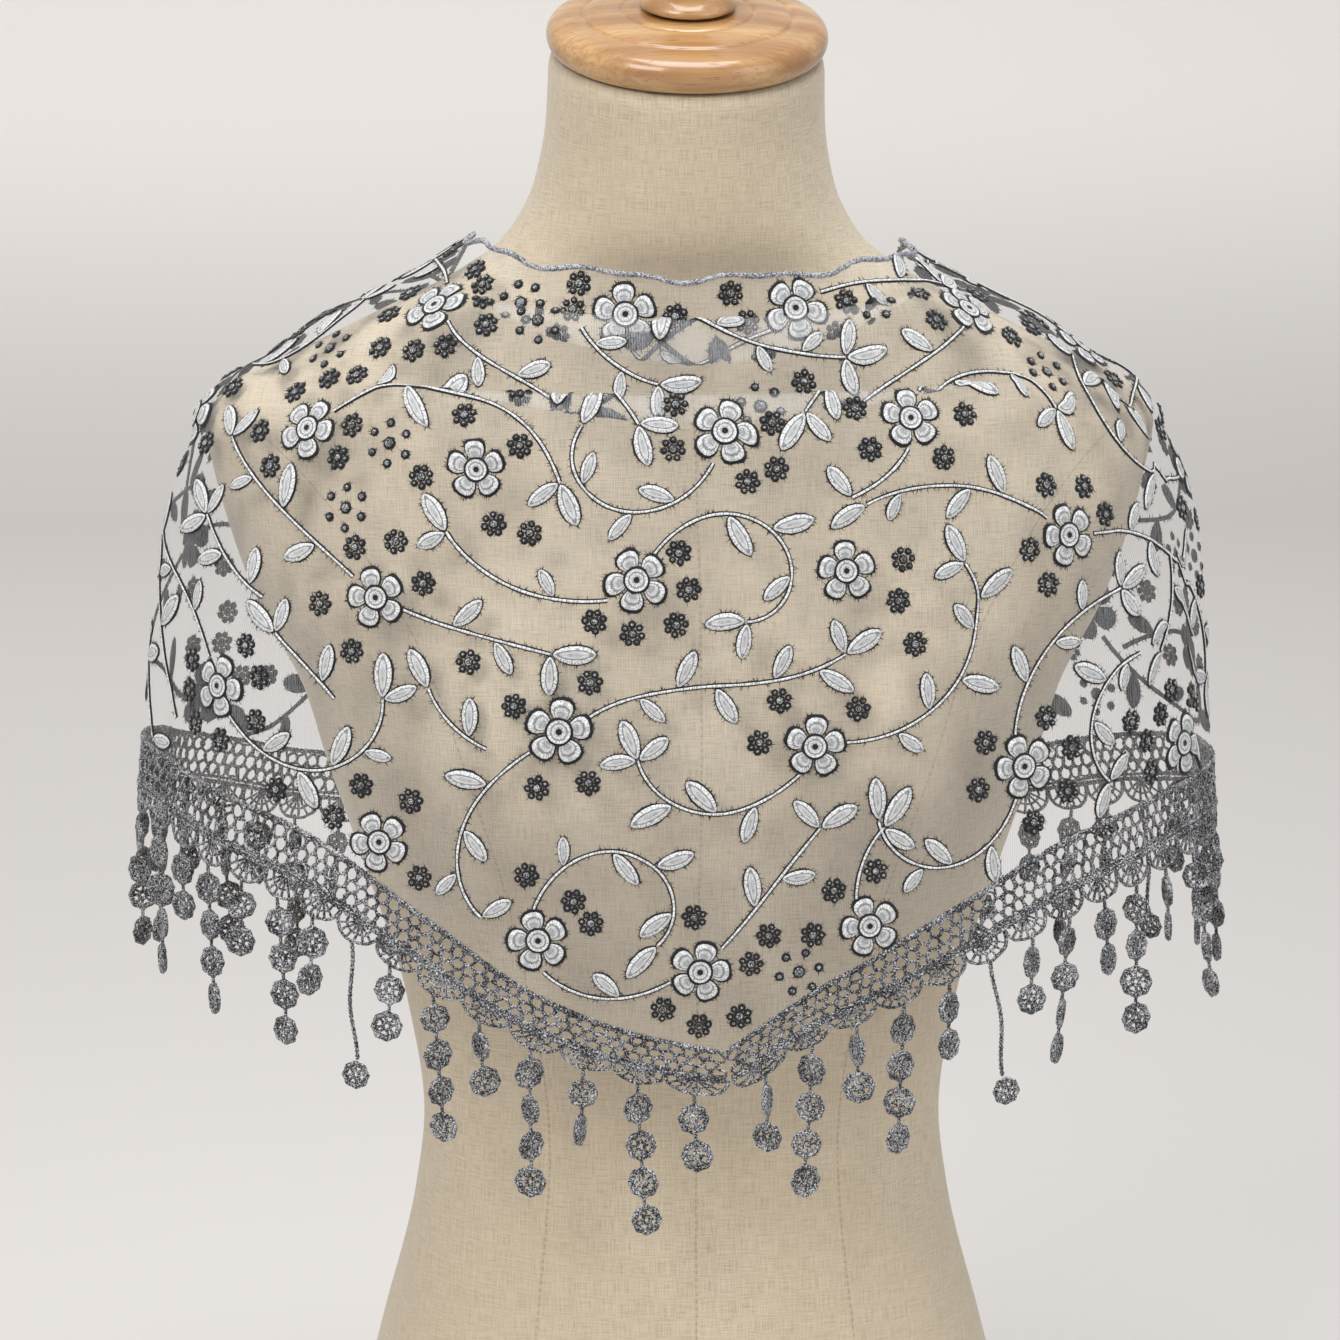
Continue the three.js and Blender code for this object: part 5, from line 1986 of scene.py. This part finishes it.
def sew_round_flowers(room, owner, flowers):
    for column, distance, size in flowers:
        spin = rng.uniform(0, 2 * math.pi)
        for k in range(ROUND_A_FLOWER):
            turn = spin + k * 2 * math.pi / ROUND_A_FLOWER + rng.normal(0, 0.1)
            spot = ahead_of(room.surface, column, distance, turn, rng.uniform(20.5, 24.5))
            if inside(room.surface, *spot, 5.5) and room.free(*spot) > 4.9:
                sew_dots(owner(column), room, *spot, ROSETTE)


def sew_more_stems(room, owner, paths, tries):
    """Forks of the sewn paths, then branches wherever there is room."""
    for path in paths:
        i = int(len(path[0]) * rng.uniform(0.35, 0.6))
        side = rng.choice([-1, 1])
        fork = best_path(room, path[0][i], path[1][i], (path[2][i] + side * 0.8, 0.4), (36, 66), skip=4)
        if fork is not None:
            sew_branch(owner(path[0][0]), room, fork, needed=3)
    for column, distance in zip(*random_spots(room.surface, tries, 8.0)):
        if room.free(column, distance) > 7:
            path = best_path(room, column, distance, (rng.uniform(0, 6.3), 3.1), (34, 74), skip=1)
            if path is not None:
                sew_branch(owner(column), room, path, first=8.0, needed=3)


def fill_cloth(surface, owner, flower_gap, tries, first=()):
    """Sew the whole design; owner names the stitches that a column belongs to."""
    room = Room(surface)
    flowers = place_flowers(room, flower_gap, tries["flowers"], first)
    for column, distance, size in flowers:
        sew_flower(owner(column), room, column, distance, size)
    paths = sew_flower_stems(room, owner, flowers)
    sew_round_flowers(room, owner, flowers)
    sew_more_stems(room, owner, paths, tries["branches"])
    for kind, count, margin, needed in (
        (DOT_RING, tries["rings"], 10.5, 10.6), (ROSETTE, tries["rosettes"], 6.0, 7.5),
    ):
        for column, distance in zip(*random_spots(surface, count, margin)):
            if room.free(column, distance) > needed:
                sew_dots(owner(column), room, column, distance, kind)
    return len(flowers)


body_stitches = {part: Stitches() for part in ("front", "back_left", "back_right")}
tail_stitches = {f"tail_{side}": Stitches() for side in TAILS}


def stitches_at(column):
    angle = column - BACK_END
    if abs(angle) <= SIDE_SPLIT:
        return body_stitches["front"]
    return body_stitches["back_left" if angle < 0 else "back_right"]


HAND_PLACED = ((column_at(-19), 17.0), (column_at(26), 15.0))
BODY_TRIES = {"flowers": 2600, "branches": 1100, "rings": 1500, "rosettes": 500}
TAIL_TRIES = {"flowers": 200, "branches": 60, "rings": 120, "rosettes": 60}
flower_count = fill_cloth(worn, stitches_at, 66.0, BODY_TRIES, HAND_PLACED)
for side, surface in tail_surfaces.items():
    fill_cloth(surface, lambda column, sewn=tail_stitches[f"tail_{side}"]: sewn, 60.0, TAIL_TRIES)
print("flowers on the body:", flower_count)

# %% [markdown]
# ## Dots and loose ends
#
# Dots and thread ends are the smallest pieces and the most numerous, so the copying tree places them: a
# black pad, a pale knot on it, and a fine spike for each loose end.

# %% Small templates and embroidery pieces
def dome_template(name, rings, sides):
    """A small dome from radius and height pairs, closed underneath."""
    turn = full_turn(sides)
    c, s = np.cos(turn), np.sin(turn)
    points = [np.stack([r * c, r * s, np.full(sides, h)], axis=-1) for r, h in rings[:-1]]
    points = np.concatenate(points + [[[0, 0, rings[-1][1]]]])
    faces = grid_faces(len(rings) - 1, sides, closed=True)
    last = (len(rings) - 2) * sides
    faces += [[last + j, last + (j + 1) % sides, len(points) - 1] for j in range(sides)]
    faces.append(list(range(sides))[::-1])
    return template_object(name, points, faces)


dark_pad = dome_template("dark pad", [(1.85, 0.05), (1.6, 0.62), (0, 0.78)], 7)
pale_knot = dome_template("pale knot", [(0.78, 0.6), (0.6, 1.0), (0, 1.1)], 6)
TICK_HALF = 0.18
tick = template_object(
    "loose end",
    [(0, -TICK_HALF, -TICK_HALF), (0, TICK_HALF, -TICK_HALF), (0, 0, TICK_HALF), (1.0, 0, 0)],
    [[0, 2, 1], [0, 1, 3], [1, 2, 3], [2, 0, 3]],
)


def make_embroidery(name, stitches):
    parts = [stitches.mesh(name)]
    ticks = np.concatenate(stitches.ticks)
    along = ticks[:, 3:] - ticks[:, :3]
    across = np.cross(along, [0.13, 0.21, 0.97])
    sizes = np.ones((len(ticks), 3))
    sizes[:, 0] = rng.uniform(1.0, 2.4, len(ticks))
    turns = frame_turns(along, across)
    parts.append(copies(name + " ends", ticks[:, :3], turns, sizes, tick, outline_thread))
    surfaces, columns, distances, scales = zip(*stitches.dots)
    surface = surfaces[0]
    columns, distances, scales = np.array(columns), np.array(distances), np.array(scales)
    places = surface.point(columns, distances)
    rights = surface.sample(surface.along, columns, distances)
    turns = frame_turns(rights, np.cross(surface.sample(surface.normal, columns, distances), rights))
    for k, (template, finish) in enumerate(((dark_pad, outline_thread), (pale_knot, knot_thread))):
        wide = scales[:, k] * rng.uniform(0.92, 1.1, len(scales))
        sizes = np.stack([wide, wide, np.ones(len(wide))], axis=-1)
        parts.append(copies(f"{name} dots {k}", places, turns, sizes, template, finish))
    return join_meshes(name, parts)


embroidery = {}
for part, sewn in (body_stitches | tail_stitches).items():
    embroidery[part] = make_embroidery(f"embroidery_{part}", sewn)
print("embroidery:", {name: triangles(piece) for name, piece in embroidery.items()})

# %% [markdown]
# ## Floor, backdrop and light
#
# The picture is a plain studio one: nearly white paper behind and below, a broad soft light from the
# front left, one from above, a weaker one from the right, one on the backdrop and pale light all round.
# The paper is one sheet with a round bend, so no line shows where floor and wall meet.

# %% Paper sweep
def make_paper():
    material, tree, shader = new_material("paper", roughness=0.95, specular=0.1)
    # the paper's colour is painted darker towards the floor, up to 0.6 m high: painted shade for the light
    # falling off low down
    rise = ramp(tree, split(tree, coordinates(tree, "Object"))[2], 0.0, 0.6)
    painted_shade_tone = blend_colour(tree, rise, colour(212, 209, 207), colour(243, 240, 237))
    tree.links.new(painted_shade_tone, shader.inputs["Base Color"])
    half_width = 9.0
    bend_radius = 1.2
    wall_y = 5.2
    outline = [(-30.0, 0.0), (wall_y - bend_radius, 0.0)]
    for i in range(1, 17):
        turn = math.pi / 2 * i / 16
        y = wall_y - bend_radius + bend_radius * math.sin(turn)
        outline.append((y, bend_radius - bend_radius * math.cos(turn)))
    outline.append((wall_y, 6.0))
    points = [(side * half_width, y, z) for y, z in outline for side in (-1, 1)]
    mesh = bpy.data.meshes.new("paper")
    mesh.from_pydata(points, [], [[2 * i, 2 * i + 1, 2 * i + 3, 2 * i + 2] for i in range(len(outline) - 1)])
    mesh.materials.append(material)
    mesh.polygons.foreach_set("use_smooth", np.full(len(mesh.polygons), True))
    in_scene("paper", mesh)


make_paper()


# %% Lights and world
def add_area_light(name, place, aim, size, watts, tint):
    data = bpy.data.lights.new(name, "AREA")
    data.shape = "RECTANGLE"
    data.size, data.size_y = size
    data.energy = watts
    data.color = tint
    light = in_scene(name, data)
    light.location = place
    light.rotation_mode = "QUATERNION"
    light.rotation_quaternion = (Vector(aim) - Vector(place)).to_track_quat("-Z", "Y")


add_area_light("key", (-1.3, -1.9, 1.9), (0, 0, 0.42), (1.1, 1.1), 30, (1.0, 0.985, 0.965))
add_area_light("fill", (1.7, -1.6, 1.1), (0, 0, 0.42), (1.4, 1.4), 9, (0.97, 0.985, 1.0))
add_area_light("top", (0.0, -0.6, 2.3), (0, 0, 0.5), (1.2, 1.2), 30, (1.0, 1.0, 1.0))
add_area_light("backdrop", (-0.4, 2.2, 2.6), (-0.3, 5.2, 0.2), (3.0, 0.8), 19, (1.0, 0.99, 0.98))

world = bpy.data.worlds.new("studio")
world.use_nodes = True
world.node_tree.nodes["Background"].inputs["Color"].default_value = (1.0, 0.99, 0.98, 1.0)
world.node_tree.nodes["Background"].inputs["Strength"].default_value = 0.68
bpy.context.scene.world = world
bpy.context.scene.view_settings.view_transform = "Standard"
bpy.context.scene.view_settings.look = "None"
